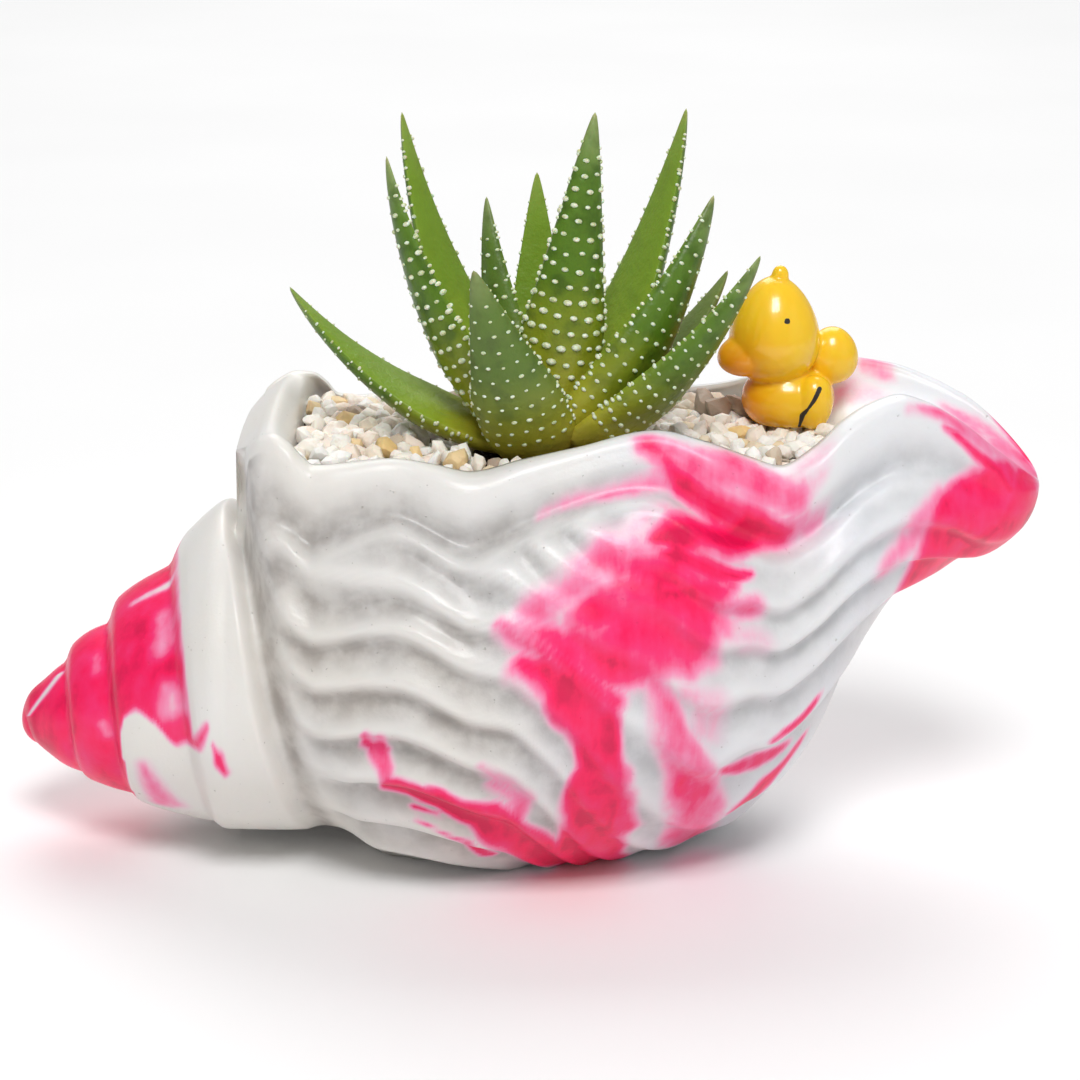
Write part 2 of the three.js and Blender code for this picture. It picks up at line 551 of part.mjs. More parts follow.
// White tubercles stand in staggered rows across the outer face.
function tubercles(leaf, others) {
  const bumps = [];
  for (let row = 0; row < TUBERCLE_ROWS; row += 1) {
    const u = 0.24 + row * 0.1;
    const half = leaf.half * curve(LEAF_TAPER, u);
    const count = Math.max(1, Math.round(half * 0.8) - (row % 2));
    for (let k = 0; k < count; k += 1) {
      const across = count === 1 ? 0 : mix(-0.72, 0.72, k / (count - 1));
      const outward = sqrt(1 - across * across * 0.92);
      const place = leafPoint(leaf, u, across, outward, 0);
      const near = others.some((other) => leafDistance(other, place) < TUBERCLE_ROOM);
      if (near) continue;
      const bump = new THREE.TetrahedronGeometry(TUBERCLE);
      const corner = new THREE.Vector3(1, 1, 1).normalize();
      const { outward: face } = leafFrame(leaf, u);
      bump.applyQuaternion(new THREE.Quaternion().setFromUnitVectors(corner, face));
      place.addScaledVector(face, -TUBERCLE / 3);
      bump.translate(place.x, place.y, place.z);
      bumps.push(toSolid(bump));
    }
  }
  return bumps;
}

// Roughly how far a place is from another leaf's flesh.
function leafDistance(leaf, place) {
  let nearest = Infinity;
  for (let u = 0; u <= 1; u += 0.02) {
    const { centre, along, outward, across } = leafFrame(leaf, u);
    const half = leaf.half * curve(LEAF_TAPER, u);
    const away = place.clone().sub(centre);
    const side = max(abs(away.dot(across)) - half, 0);
    const deep = max(abs(away.dot(outward)) - half * 0.6, 0);
    nearest = min(nearest, hypot(side, deep, away.dot(along)));
  }
  return nearest;
}

function makeLeaves() {
  const stem = toSolid(makeStem(GAP));
  const taken = [stem];
  return LEAVES.map((leaf) => {
    const room = wasm.Manifold.union(taken);
    const body = mainBody(leafBody(leaf, 0).subtract(room));
    const others = LEAVES.filter((other) => other !== leaf);
    taken.push(leafBody(leaf, GAP));
    return mainBody(wasm.Manifold.union([body, ...tubercles(leaf, others)]));
  });
}

// ---------------------------------------------------------------- the duck

// A squat duckling cast in one piece: ball head with a curl, round body, tail, wing and bill.
const DUCK_PARTS = [
  { at: [-1.9, -0.4, 12.9], size: [6.2, 5.9, 7.2] },
  { at: [0.2, 0, 3.2], size: [6.5, 5.5, 4.9] },
  { at: [6.3, 1.4, 8.8], size: [3.7, 3.3, 4.1] },
  { at: [3.5, -3.5, 3.5], size: [2.7, 2.4, 3.8] },
  { at: [-7.2, -1.8, 9.9], size: [3.6, 3.2, 2.1] },
  { at: [-1.3, -0.4, 20.1], size: [1.4, 1.2, 1.7] },
];

function makeDuck() {
  const seat = gritLevel(...DUCK) + GAP;
  const lobes = DUCK_PARTS.map(({ at, size }, i) => {
    const ball = new THREE.SphereGeometry(1, i < 2 ? 11 : 7, i < 2 ? 7 : 4);
    ball.rotateX(PI / 2);
    ball.scale(...size);
    ball.translate(DUCK[0] + at[0], DUCK[1] + at[1], seat + at[2]);
    return toSolid(ball);
  });
  const above = new THREE.BoxGeometry(40, 40, 40);
  above.translate(DUCK[0], DUCK[1], seat + 20);
  return mainBody(wasm.Manifold.union(lobes).intersect(toSolid(above)));
}

// ---------------------------------------------------------------- assembly

const group = new THREE.Group();

function addPiece(name, geometry, finish) {
  const mesh = new THREE.Mesh(geometry, new THREE.MeshStandardMaterial(finish));
  mesh.name = name;
  group.add(mesh);
}

const fill = makeFill();
const leaves = makeLeaves();
const leafRoom = LEAVES.map((leaf) => leafBody(leaf, GAP + TUBERCLE));

addPiece('pot', makePot(0), CERAMIC);
addPiece('soil', toGeometry(makeSoil(fill)), SOIL);
addPiece('grit', toGeometry(makeGrit(fill, leafRoom)), GRIT);
addPiece('stem', makeStem(0), STEM);
leaves.forEach((solid, i) => {
  addPiece(`leaf_${String(i + 1).padStart(2, '0')}`, toGeometry(solid), LEAF);
});
addPiece('duck', toGeometry(makeDuck()), RESIN);

export default group;
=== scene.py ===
from collections import namedtuple
from math import cos, pi, radians, sin

import bpy
import numpy as np
from mathutils import Matrix, Vector


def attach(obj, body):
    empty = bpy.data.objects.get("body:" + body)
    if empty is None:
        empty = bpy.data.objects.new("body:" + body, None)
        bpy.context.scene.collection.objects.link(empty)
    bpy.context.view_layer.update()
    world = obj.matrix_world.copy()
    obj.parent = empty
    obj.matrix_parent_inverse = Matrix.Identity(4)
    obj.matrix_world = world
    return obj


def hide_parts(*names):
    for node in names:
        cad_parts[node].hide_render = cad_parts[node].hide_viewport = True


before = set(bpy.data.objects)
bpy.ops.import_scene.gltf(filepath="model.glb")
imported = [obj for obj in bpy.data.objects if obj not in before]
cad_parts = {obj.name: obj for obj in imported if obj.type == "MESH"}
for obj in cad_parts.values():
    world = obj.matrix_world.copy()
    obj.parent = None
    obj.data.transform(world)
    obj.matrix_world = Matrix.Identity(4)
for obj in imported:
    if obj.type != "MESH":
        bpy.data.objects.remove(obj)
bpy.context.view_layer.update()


# ------------------------ viewpoint
# The planter is looked at square from the front and a little from above, with
# a long lens from about four hands away, so that its rim hides its far wall.

VIEW_CENTRE = Vector((0.0014, 0, 0.043))
VIEW_DISTANCE = 0.42
VIEW_RISE = radians(18)
LENS = 101.4

bpy.ops.object.camera_add(
    location=VIEW_CENTRE + VIEW_DISTANCE * Vector((0, -cos(VIEW_RISE), sin(VIEW_RISE))),
    rotation=(pi / 2 - VIEW_RISE, 0, 0))
camera = bpy.context.object
camera.data.lens = LENS
camera.data.clip_start = 0.01
bpy.context.scene.camera = camera


# ------------------------ shell planter
# One hollow casting shaped like a conch: a coiled spire, a ribbed bowl with a
# rolled wavy lip, a spout and a flat base. It is slip-cast ceramic with a satin
# white glaze, over which pink glaze was brushed and left to run.

MM = 0.001
# In millimetres: where the spire's apex, the spout's tip and the collar are, the wall and the
# share of it that blends into the lip, the neck under the lip, the swell of a whorl and the
# depth of the furrow after it.
APEX_X, TIP_X, TIP_Z, TIP_LENGTH = -71.5, 69.8, 51.5, 9.8
COLLAR_X = -39.6
WALL, RIM_BLEND = 4.6, 0.06
NECK_BELOW, NECK_HALF, NECK_INSIDE = 4.6, 2.7, 0.8
WHORL_SWELL, FURROW = 2.3, 3.4
# By x along the planter: how many turns the whorls have made since the apex, the spire's
# radius, the height of the axis, and the bowl's half width and its depth below the axis.
TURNS = [(-71.5, 0), (-68.7, 0.5), (-65, 1), (-62.2, 1.5), (-58.8, 2), (-54.8, 2.5), (-49.8, 3),
         (-43.2, 3.5), (-39.9, 4), (-28.6, 4.5), (-20, 5)]
SPIRE_RADIUS = [(-71.5, 0), (-71.2, 1.4), (-70.2, 2.9), (-68.3, 4.3), (-65, 7), (-58.5, 11.2),
                (-49.3, 17.2), (-40.5, 22.4), (-28, 26.5), (-20, 28)]
AXIS_Z = [(-71.5, 16.7), (-65, 17.9), (-58.5, 19.6), (-49.3, 22.3), (-40, 25.8), (-30, 29),
          (-20, 32), (-10, 33.5), (0, 34.5), (10, 36), (20, 38), (27, 40), (33, 42.5), (38, 45),
          (42, 47.5), (46, 50), (50, 52), (56, 52.6), (60, 52.2), (70, 51)]
HALF_WIDTH = [(-40, 22.5), (-30, 26.5), (-20, 30.6), (-10, 33.3), (0, 34.3), (10, 33.8), (20, 31.8),
              (27, 29), (33, 25.8), (38, 23), (42, 20.5), (46, 18), (50, 16), (56, 13.5),
              (60, 11.8), (70, 9.5)]
HALF_DEPTH = [(-40, 23), (-30, 27), (-20, 33), (-10, 36.2), (0, 37.6), (10, 38.3), (20, 38.1),
              (27, 37.4), (33, 35.5), (38, 30.9), (42, 25.2), (46, 19), (50, 16), (56, 12.8),
              (60, 11), (70, 9.3)]
# Where the last whorl ends and the bowl begins, by the angle from the top.
WHORL_EDGE = [(0, -39.9), (0.35, -39.2), (0.6, -38.2), (1, -36.6), (1.57, -34.6), (2.2, -31.5),
              (2.75, -28.8), (pi, -28)]
# The rim's inner edge by x: its height, and its distance from the middle plane.
FRONT_Z = [(-40, 58.4), (-37.2, 60.6), (-35.2, 62.6), (-33.4, 63.2), (-31.4, 62.2), (-29.9, 60.6),
           (-28.2, 59.4), (-25, 59.7), (-18, 60.4), (-12, 59.8), (-7.6, 59.1), (-1, 60.6), (6, 62),
           (16.5, 64.1), (23, 62.7), (29, 60.5), (32.8, 59.3), (37, 61.1), (41.5, 64.5), (44.5, 66),
           (48.5, 67), (52.5, 65.7), (56.6, 63.2), (62.8, 58.2), (70, 54)]
FRONT_Y = [(-40, 7), (-39, 10.5), (-38, 13), (-36, 15.2), (-33, 16.8), (-30, 18), (-25, 19),
           (-18, 19), (-7.6, 20.5), (6, 19.5), (16.5, 18.6), (25, 19), (32.8, 18.5), (38, 16),
           (44, 13), (48.5, 11.4), (56, 9.2), (62, 7), (70, 5)]
BACK_Z = [(-40, 57.6), (-38.4, 59.4), (-35.5, 61.6), (-33.2, 62.4), (-30.7, 62), (-28.9, 60.6),
          (-27.4, 58.8), (-25, 58.3), (0, 58.4), (15, 58.8), (25, 59.8), (33, 62), (40, 65),
          (44, 65.6), (50, 65.1), (56, 63), (62, 60.1), (70, 56)]
BACK_Y = [(-40, 7), (-39, 10), (-38, 12), (-36, 14.4), (-33, 16.4), (-28, 18), (-20, 19.5),
          (0, 21), (20, 20), (33, 17.5), (44, 13.5), (50, 11.5), (56, 9.4), (62, 7.2), (70, 5)]
# How wide the rolled lip is, and how much of that it is at the back.
BACK_FLARE = 0.8
LIP = [(-40, 3), (-30, 4), (-18, 2.8), (-8, 5.2), (2, 3.6), (9, 2.9), (16.6, 3.4), (26, 6),
       (33, 6.3), (39, 6.6), (45, 5.4), (50, 4.2), (57, 2.6), (70, 2)]
# Which rib lies how far below the lip, near the collar and near the spout, and by x how many
# ribs that count slides and how high the ribs stand.
RIBS_LEFT = [(0, -1.4), (3, -0.9), (7.3, 0), (14.8, 1), (20.4, 2), (27.3, 3), (34.3, 4),
             (42.5, 5), (52, 6), (63, 7), (90, 9)]
RIBS_RIGHT = [(0, -1.6), (3, -1), (8.3, 0), (14.9, 1), (20.6, 2), (29.3, 3), (41.3, 4), (60, 5),
              (90, 6.4)]
RIB_SLIDE = [(-40, 0.7), (-32, 0.55), (-27, 0.3), (-23, 0.05), (-16.8, -0.28), (-10.2, -0.38),
             (-3.8, -0.83), (2, -1.8), (9, -2.9), (12, -3.2), (22, -3.5), (30, -3), (42, -2.9),
             (60, -2.9)]
RIB_HEIGHT = [(-40, 0.9), (-33, 1.7), (-15, 1.8), (-5, 1.3), (3, 0.7), (15, 0.55), (22, 1.2),
              (28, 1.8), (45, 1.7), (55, 1.1), (62, 0.5), (70, 0)]
# The lowest height of the inside, and how far below its rims the ear at the collar dips and
# the spout's channel lies.
FLOOR_Z = [(-40, 6), (15, 6), (25, 9), (31, 16), (35, 28), (38, 44), (41, 56.5), (70, 56.5)]
CHANNEL = [(-40, -0.6), (-34.8, -0.6), (-31, 3.4), (-29, 5), (36, 8), (41, 7.6), (44, 6.3),
           (50, 5.5), (56, 3.9), (62, 2.4), (70, 1)]
# The mesh: which share of its rings lies before each x, how many points a ring has outside, on
# each edge of the lip and inside, and how far the outside ones crowd to the middle of a side.
STATIONS = [(0, -71.35), (0.02, -70.6), (0.06, -68.5), (0.25, -41.5), (0.29, -39.4), (0.33, -36),
            (0.39, -29.6), (0.92, 60), (0.97, 67), (1, 69.65)]
RINGS_ALONG, OUTSIDE_POINTS, LIP_POINTS, INSIDE_POINTS = 392, 204, 8, 32
CROWDING = 0.02


def curve(knots, x):
    """A smooth line through knots (x, value) that never overshoots one."""
    at, value = np.array(knots, float).T
    slope = np.diff(value) / np.diff(at)
    before, after = slope[:-1], slope[1:]
    level = before * after <= 0
    middle = np.where(level, 0, 2 * before * after / np.where(level, 1, before + after))
    tangent = np.concatenate([slope[:1], middle, slope[-1:]])
    x = np.clip(x, at[0], at[-1])
    i = np.clip(np.searchsorted(at, x, side="right") - 1, 0, len(at) - 2)
    width = at[i + 1] - at[i]
    t = (x - at[i]) / width
    return ((1 + 2 * t) * (1 - t) ** 2 * value[i] + t * t * (3 - 2 * t) * value[i + 1]
            + width * t * (1 - t) ** 2 * tangent[i] + width * t * t * (t - 1) * tangent[i + 1])


def ease(low, high, value):
    t = np.clip((value - low) / (high - low), 0, 1)
    return t * t * (3 - 2 * t)


def mix(a, b, t):
    return a + (b - a) * t


def folded(angle):
    """The angle from the top, down either side."""
    return np.where(angle > pi, 2 * pi - angle, angle)


def spire_radius(x, angle):
    """The whorls: each swells in a fifth of a turn, sinks in the rest and is flat underneath."""
    turn = curve(TURNS, x) - angle / (2 * pi)
    part = turn - np.floor(turn)
    swell = np.where(part < 0.2, np.sin(pi / 2 * part / 0.2), np.cos(pi / 2 * (part - 0.2) / 0.8))
    underneath = ease(1.7, 2.9, folded(angle))
    swell = mix(swell, 0.5, 0.75 * underneath)
    core = curve(SPIRE_RADIUS, x)
    tuck = FURROW * ease(-2.4, 0.6, x - curve(WHORL_EDGE, folded(angle))) * (1 - 0.8 * underneath)
    return core + swell * min(WHORL_SWELL, 0.2 * core) - tuck


def bowl_radius(x, angle):
    """An oval whose upper half passes just under the rim, in front and at the back."""
    half_width, axis = curve(HALF_WIDTH, x), curve(AXIS_Z, x)
    rises = []
    for rim_y, rim_z in ((FRONT_Y, FRONT_Z), (BACK_Y, BACK_Z)):
        reach = (curve(rim_y, x) + 3.2) / half_width
        rises.append((curve(rim_z, x) - 2 - axis) / np.sqrt(np.clip(1 - reach ** 2, 0.12, 1)))
    upper = np.where(angle > pi, rises[1], rises[0])
    half_height = np.where(np.cos(angle) > 0, upper, curve(HALF_DEPTH, x))
    return 1 / np.hypot(np.sin(angle) / half_width, np.cos(angle) / half_height)


def plain_radius(x, angle):
    """The last whorl flowing over into the bowl, with no neck or ribs."""
    past = x - curve(WHORL_EDGE, folded(angle))
    soft = mix(1.8, 9, ease(0.35, 2, folded(angle)))
    return mix(spire_radius(x, angle), bowl_radius(x, angle), ease(0.2, soft, past))


def rib_hollow(x, below):
    """0 on the crest of a rib and 1 in the valley between two."""
    count = mix(curve(RIBS_LEFT, below), curve(RIBS_RIGHT, below), ease(-5, 25, x))
    count = count + curve(RIB_SLIDE, x)
    return np.cos(pi * (count - 0.12 * np.sin(pi * count) ** 2)) ** 2


def on_bowl(x, angle):
    """0 on the spire and 1 on the bowl, with a softer change lower down."""
    soft = mix(2.5, 10, ease(0.5, 2.2, folded(angle)))
    return ease(0.5, soft, x - curve(WHORL_EDGE, folded(angle)))


def necked_radius(x, angle, front, back):
    """The outside with the neck under its lip but no ribs, and how deep in the neck it is."""
    radius = plain_radius(x, angle)
    below = np.where(angle < pi, angle - front, back - angle) * bowl_radius(x, angle)
    under_lip = np.exp(-(((below - NECK_BELOW) / NECK_HALF) ** 2)) * ease(TIP_X, TIP_X - 12, x)
    neck = (0.7 + 0.5 * curve(LIP, x)) * under_lip
    return radius - on_bowl(x, angle) * neck, under_lip


def outer_radius(x, angle, front, back):
    """The outside with its neck and ribs, and how hollow it is there."""
    necked, under_lip = necked_radius(x, angle, front, back)
    reach = bowl_radius(x, angle)
    from_front, from_back = (angle - front) * reach, (back - angle) * reach
    side = ease(pi - 0.25, pi + 0.25, angle)
    ribbed = mix(ease(6, 10, from_front), ease(6, 10, from_back), side)
    hollow = mix(rib_hollow(x, from_front), rib_hollow(x, from_back), side)
    rib = (0.5 - hollow) * curve(RIB_HEIGHT, x) * ribbed
    bowl = on_bowl(x, angle)
    furrow = np.exp(-(((x - curve(WHORL_EDGE, folded(angle)) - 1.5) / 1.8) ** 2))
    return necked + bowl * rib, np.maximum(bowl * np.maximum(hollow * ribbed, under_lip), furrow)


def rim_edges(x):
    """Inner and outer edge of the lip, in front and at the back, as (y, z)."""
    edges = []
    for rim_y, rim_z, sign, flare in ((FRONT_Y, FRONT_Z, -1, 1), (BACK_Y, BACK_Z, 1, BACK_FLARE)):
        width, y, z = curve(LIP, x) * flare, curve(rim_y, x), curve(rim_z, x)
        edges += [np.array([sign * y, z]), np.array([sign * (y + 0.7 * width), z - 0.8 * width])]
    return edges


def polar(x, radius, angle):
    """Points (y, z) at an angle round the axis, which runs from the top over the front."""
    return np.stack([-radius * np.sin(angle), curve(AXIS_Z, x) + radius * np.cos(angle)], -1)


def rolled_edge(start, end, count):
    """Points from one edge of the lip to the other, bulging upwards between them."""
    t = (np.arange(count) + 1)[:, None] / (count + 1)
    along = end - start
    up = 1 if along[0] >= 0 else -1
    bulge = 0.24 * up * np.sin(pi * t) * np.array([-along[1], along[0]])
    return start + along * t + bulge


def inside_outline(x, count):
    """The inside from the back rim to the front one: a pit in the bowl, a channel elsewhere."""
    axis = curve(AXIS_Z, x)
    front, front_lip, back, back_lip = rim_edges(x)
    wall = min(WALL, 0.36 * curve(HALF_WIDTH, x))
    t = np.arange(count) / (count - 1)
    t = t - 0.12 * np.sin(2 * pi * t)
    angle = mix(2 * pi - np.arctan2(back[0], back[1] - axis),
                np.arctan2(-front[0], front[1] - axis), t)
    lip_front = np.arctan2(-front_lip[0], front_lip[1] - axis)
    lip_back = 2 * pi - np.arctan2(back_lip[0], back_lip[1] - axis)
    necked = necked_radius(x, angle, lip_front, lip_back)[0]
    radius = mix(plain_radius(x, angle), necked, NECK_INSIDE) - wall
    radius = mix(np.hypot(back[0], back[1] - axis), radius, ease(0, RIM_BLEND, t))
    radius = mix(np.hypot(front[0], front[1] - axis), radius, ease(0, RIM_BLEND, 1 - t))
    y, z = polar(x, radius, angle).T
    straight = mix(back[1], front[1], t)
    floor = curve(FLOOR_Z, x)
    y = np.where(z < floor, np.clip(y, front[0] + 0.5, back[0] - 0.5), y)
    pit = np.stack([y, np.clip(z, min(floor, straight.min()), straight)], -1)
    channel = straight - curve(CHANNEL, x) * np.sin(pi * t) ** 0.6
    sunk = ease(-32, -29.8, x) * ease(43, 37, x)
    return mix(np.stack([mix(back[0], front[0], t), channel], -1), pit, sunk)


def pot_outline(x):
    """Points (y, z) round the planter at x, how far each is below the lip's outer edge in
    front and at the back (negative on the lip and inside it), and how hollow it is."""
    axis = curve(AXIS_Z, x)
    front_in, front_out, back_in, back_out = rim_edges(x)
    front = np.arctan2(-front_out[0], front_out[1] - axis)
    back = 2 * pi - np.arctan2(back_out[0], back_out[1] - axis)
    t = np.linspace(0, 1, OUTSIDE_POINTS)
    angle = mix(front, back, t + CROWDING * np.sin(4 * pi * t))
    radius, hollow = outer_radius(x, angle, front, back)
    outside = polar(x, radius, angle)
    opening = np.concatenate([rolled_edge(outside[-1], back_in, LIP_POINTS),
                              inside_outline(x, INSIDE_POINTS),
                              rolled_edge(front_in, outside[0], LIP_POINTS)])
    t = (np.arange(len(opening)) + 1) / (len(opening) + 1)
    turn = (back + (2 * pi + front - back) * t) % (2 * pi)
    closed = polar(x, plain_radius(x, turn), turn)
    opened = ease(COLLAR_X - 0.6, COLLAR_X + 0.6, x)
    top = mix(closed, opening, opened)
    below_front = np.concatenate([(angle - front) * radius, -np.hypot(*(top - outside[0]).T)])
    below_back = np.concatenate([(back - angle) * radius, -np.hypot(*(top - outside[-1]).T)])
    return np.concatenate([outside, top]), below_front, below_back, np.append(hollow, 0 * t)


def mould(piece, rings, first, last, **values):
    """Moves a sphere's corners to rings[ring][step] between the points for its two poles, and
    gives each corner its numbers from the tables in values. The steps are a multiple of four."""
    count, around = rings.shape[:2]
    at = np.empty(len(piece.data.vertices) * 3)
    piece.data.vertices.foreach_get("co", at)
    x, y, z = at.reshape(-1, 3).T
    ring = np.rint(np.arccos(np.clip(z, -1, 1)) / pi * (count + 1)).astype(int)
    step = np.rint(np.arctan2(y, x) / (2 * pi) * around).astype(int) % around
    inner = np.clip(ring - 1, 0, count - 1)
    placed = rings[inner, step]
    placed[ring == 0] = first
    placed[ring == count + 1] = last
    piece.data.vertices.foreach_set("co", placed.ravel() * MM)
    for name, table in values.items():
        piece.data.attributes.new(name, "FLOAT", "POINT").data.foreach_set("value", table[inner, step])
    piece.data.update()


stations = curve(STATIONS, np.linspace(1, 0, RINGS_ALONG))
outlines = [pot_outline(x) for x in stations]
along = np.clip((stations - TIP_X + TIP_LENGTH) / TIP_LENGTH, 0, 1)[:, None]
taper = np.sqrt(1 - along ** 2)
yz = np.stack([outline[0] for outline in outlines])
shell = np.stack([np.repeat(stations[:, None], yz.shape[1], 1), yz[..., 0] * taper,
                  np.maximum(TIP_Z + (yz[..., 1] - TIP_Z) * taper, 0)], -1)
below_front, below_back, hollow = (np.stack([o[k] for o in outlines]) for k in (1, 2, 3))

# Strokes of pink glaze: how thick, how soft its edge, and its path of points (x, distance below
# the lip's outer edge, half width). The brush swayed a little on the way.
SWAY = 0.35
UNDER_SPOUT = (0.9, 1.6, [(69.5, 7, 3), (68, 24, 6), (66, 60, 7)])
FRONT_STROKES = [
    UNDER_SPOUT,
    (0.6, 2, [(14.1, -1.1, 0.7), (17.9, -0.4, 1.5), (22.3, -1.2, 2.5), (27.3, -2.8, 3), (31, -2.8, 3),
              (34.6, -1.5, 2.4)]),
    (0.85, 2, [(14.8, -0.4, 1.1), (17.3, 0.9, 1.5), (19.8, 2.4, 2), (22.9, 2.2, 2.1), (26, 2.1, 2),
               (30.4, 1.9, 1.8), (33.6, 2.1, 1.2)]),
    (0.3, 1.8, [(35.2, -2.2, 2), (37.5, -1.5, 1.4)]),
    (0.5, 1.6, [(1.8, 4.1, 0.4), (6.1, 4.2, 0.9), (10.4, 4.2, 1.2), (14.8, 4.1, 1.2),
                (18.5, 3.2, 1.2)]),
    (0.28, 2.6, [(8.5, 10.8, 1), (13.5, 10.5, 1.8), (17.9, 7.6, 1.5)]),
    (0.97, 2, [(16, 12.1, 1), (19.1, 10.7, 2), (24.1, 6.4, 2.4), (29.1, 3, 2.3), (32.2, 2.4, 1.6)]),
    (0.6, 2.6, [(32.2, 2.4, 2), (35.4, 2.3, 1.4), (38, 3, 0.6)]),
    (0.95, 1.2, [(16.6, 13.9, 0.8), (20.4, 13, 1.5), (24.1, 11.1, 1.7), (28.5, 9.4, 0.5)]),
    (0.78, 2, [(13.5, 15.5, 2), (16.8, 15.8, 3), (21, 15.2, 3), (24.6, 13.2, 2)]),
    (0.9, 1.6, [(11, 16, 0.4), (14.8, 17.4, 0.9), (18.5, 18.4, 1.3), (24.1, 14.6, 2), (26, 12.4, 1.3)]),
    (0.58, 3.2, [(0.6, 17.7, 2.4), (6.1, 16.2, 3), (11, 15.1, 4), (15.4, 16.4, 5), (20.4, 16.9, 5),
                (24.1, 17, 3)]),
    (0.78, 2.4, [(7.3, 20.7, 3), (11.6, 20.5, 4.3), (15.4, 21.7, 5.3), (19.1, 21.9, 5), (21, 18.4, 4),
                 (23.5, 14.8, 2)]),
    (0.78, 2, [(5.5, 22.3, 1.5), (9.8, 25.3, 3), (14.8, 27.3, 4), (18.5, 25.9, 3), (21, 23.2, 1.5)]),
    (0.58, 1.4, [(29.7, 13.1, 1.3), (24.1, 15.5, 1.5)]),
    (0.28, 2, [(24.1, 19.9, 1.5), (29.7, 17.6, 2)]),
    (0.64, 2.2, [(-0.6, 20, 1.6), (4.3, 23.3, 2.8), (9.8, 27.6, 3.4), (13.5, 29.8, 2.6)]),
    (1, 2.4, [(-4.2, 17.3, 0), (0.1, 21.7, 0.5), (4.3, 26.4, 1.1), (7.9, 29.9, 1.4),
              (10.4, 33.5, 1.4)]),
    (0.85, 2.2, [(-1.1, 24.1, 1.4), (1.8, 26.8, 2.4), (5.5, 30.4, 3.2)]),
    (0.85, 1.3, [(4.9, 30.4, 3.2), (7.9, 35, 3.5), (9.1, 41.2, 3.3), (9.8, 45.8, 3)]),
    (0.85, 1.5, [(9.1, 45.6, 4), (8.5, 51.6, 4.3), (7.9, 58.9, 4.3), (8.5, 77.8, 5)]),
    (0.66, 1.6, [(12.3, 50.6, 1.5), (12.3, 60, 2.5)]),
    (0.97, 1.8, [(7.3, 34.1, 1), (8.5, 39.2, 1.3), (7.3, 48.5, 0.7), (6.1, 54.5, 1), (6.7, 72, 2)]),
    (0.62, 2.2, [(15.4, 30.4, 1.5), (17.9, 34.8, 2.4), (19.8, 40.1, 3.3), (21.6, 46.2, 4),
                 (22.3, 55, 3.8), (21.6, 74.6, 3.5)]),
    (0.8, 1.8, [(16.6, 32.5, 0.7), (18.5, 38.7, 0.7), (20.4, 46.8, 1), (19.8, 54.6, 0.6)]),
    (0.3, 2.2, [(20.4, 30.8, 2), (24.1, 29.7, 2.5), (22.9, 35.4, 2.5)]),
    (0.75, 1.2, [(26.6, 43.2, 1.5), (30.4, 42.1, 2.2), (34, 41.5, 1.5)]),
    (0.85, 1, [(32.2, 36.8, 0.6), (34, 35.5, 1), (36.4, 35.5, 1.2), (38.2, 34.6, 1)]),
    (1, 1, [(26.6, 58.2, 0.5), (29.1, 54.3, 1.2), (32.2, 48.9, 1.3), (35.2, 46.9, 0.9),
            (37, 44.1, 0.5)]),
    (0.85, 1.3, [(-11.7, 43.3, 2.2), (-6.3, 46.5, 2.7), (-1.1, 56.5, 3.2), (4.3, 70.8, 3)]),
    (0.55, 1.6, [(-4.6, 40.2, 0.8), (-1.1, 46.2, 1.7), (-2.3, 51.7, 1.8)]),
    (0.75, 0.9, [(-21.4, 33.7, 0.7), (-19.6, 35.4, 0.8), (-18.2, 35.8, 0.3)]),
    (0.7, 0.8, [(-19.6, 35.4, 1.4), (-19.1, 39.6, 1.1), (-19.1, 42.1, 0.9)]),
    (0.9, 1, [(-19.1, 42.5, 0.9), (-16.3, 43.5, 1.3), (-13.8, 43.9, 1.6), (-11.2, 44.1, 1.8),
              (-8.5, 45.1, 1.8), (-6.3, 47.4, 1.8)]),
    (0.75, 1.2, [(-14.8, 47.5, 0.6), (-12.3, 47.6, 0.5)]),
    (0.75, 0.9, [(-14.8, 50.6, 0.4), (-11.7, 52.2, 0.6), (-8.5, 53, 0.8), (-5.7, 60.1, 1.1)]),
    (0.55, 1.6, [(-6.3, 36.6, 0.3), (-4.6, 38.5, 0.6), (-2.9, 41.6, 0.9), (-1.7, 45.1, 1),
                 (-3.4, 46.7, 0.9), (-4, 50.2, 0.9)]),
    (0.82, 1.6, [(64, 1, 2.6), (61.8, 5, 3.6), (59.5, 9, 4.4), (57.5, 13, 4.6), (56, 18, 4.6),
                 (54, 28, 5)]),
    (0.9, 1.6, [(67.5, 0, 2.2), (66.5, 6, 3), (64, 12, 4), (60, 20, 4.6), (56, 30, 5)]),
    (1.05, 2.4, [(56.3, 13.4, 1.6), (60, 14.4, 2.2), (62.6, 9.5, 1.8)]),
    (0.48, 2.2, [(55, 8.5, 1.6), (52.8, 12, 2.1), (50.5, 15.5, 2), (48, 18.4, 1.6)]),
    (0.55, 1.6, [(50.5, -1.9, 0.4), (53.7, -1.5, 1), (57.3, -1.3, 1.6), (60.6, -2, 2.2), (64, -2.4, 2.8),
                 (66.8, -1.5, 2.6), (68, 2, 1.6)]),
    (0.5, 2, [(58, -6, 1), (62, -6.5, 3), (67, -7, 5)]),
    (0.95, 1.2, [(54.9, 0.3, 0.4), (57.9, 0.5, 0.6), (60.1, 0.7, 0.9), (63.1, 1, 1.2), (64.9, 3, 1.2)]),
    (0.3, 2.4, [(30.9, -3.4, 1.5), (34, -4, 1.8), (37, -4.7, 1.6), (38.5, -4.2, 1)]),
]
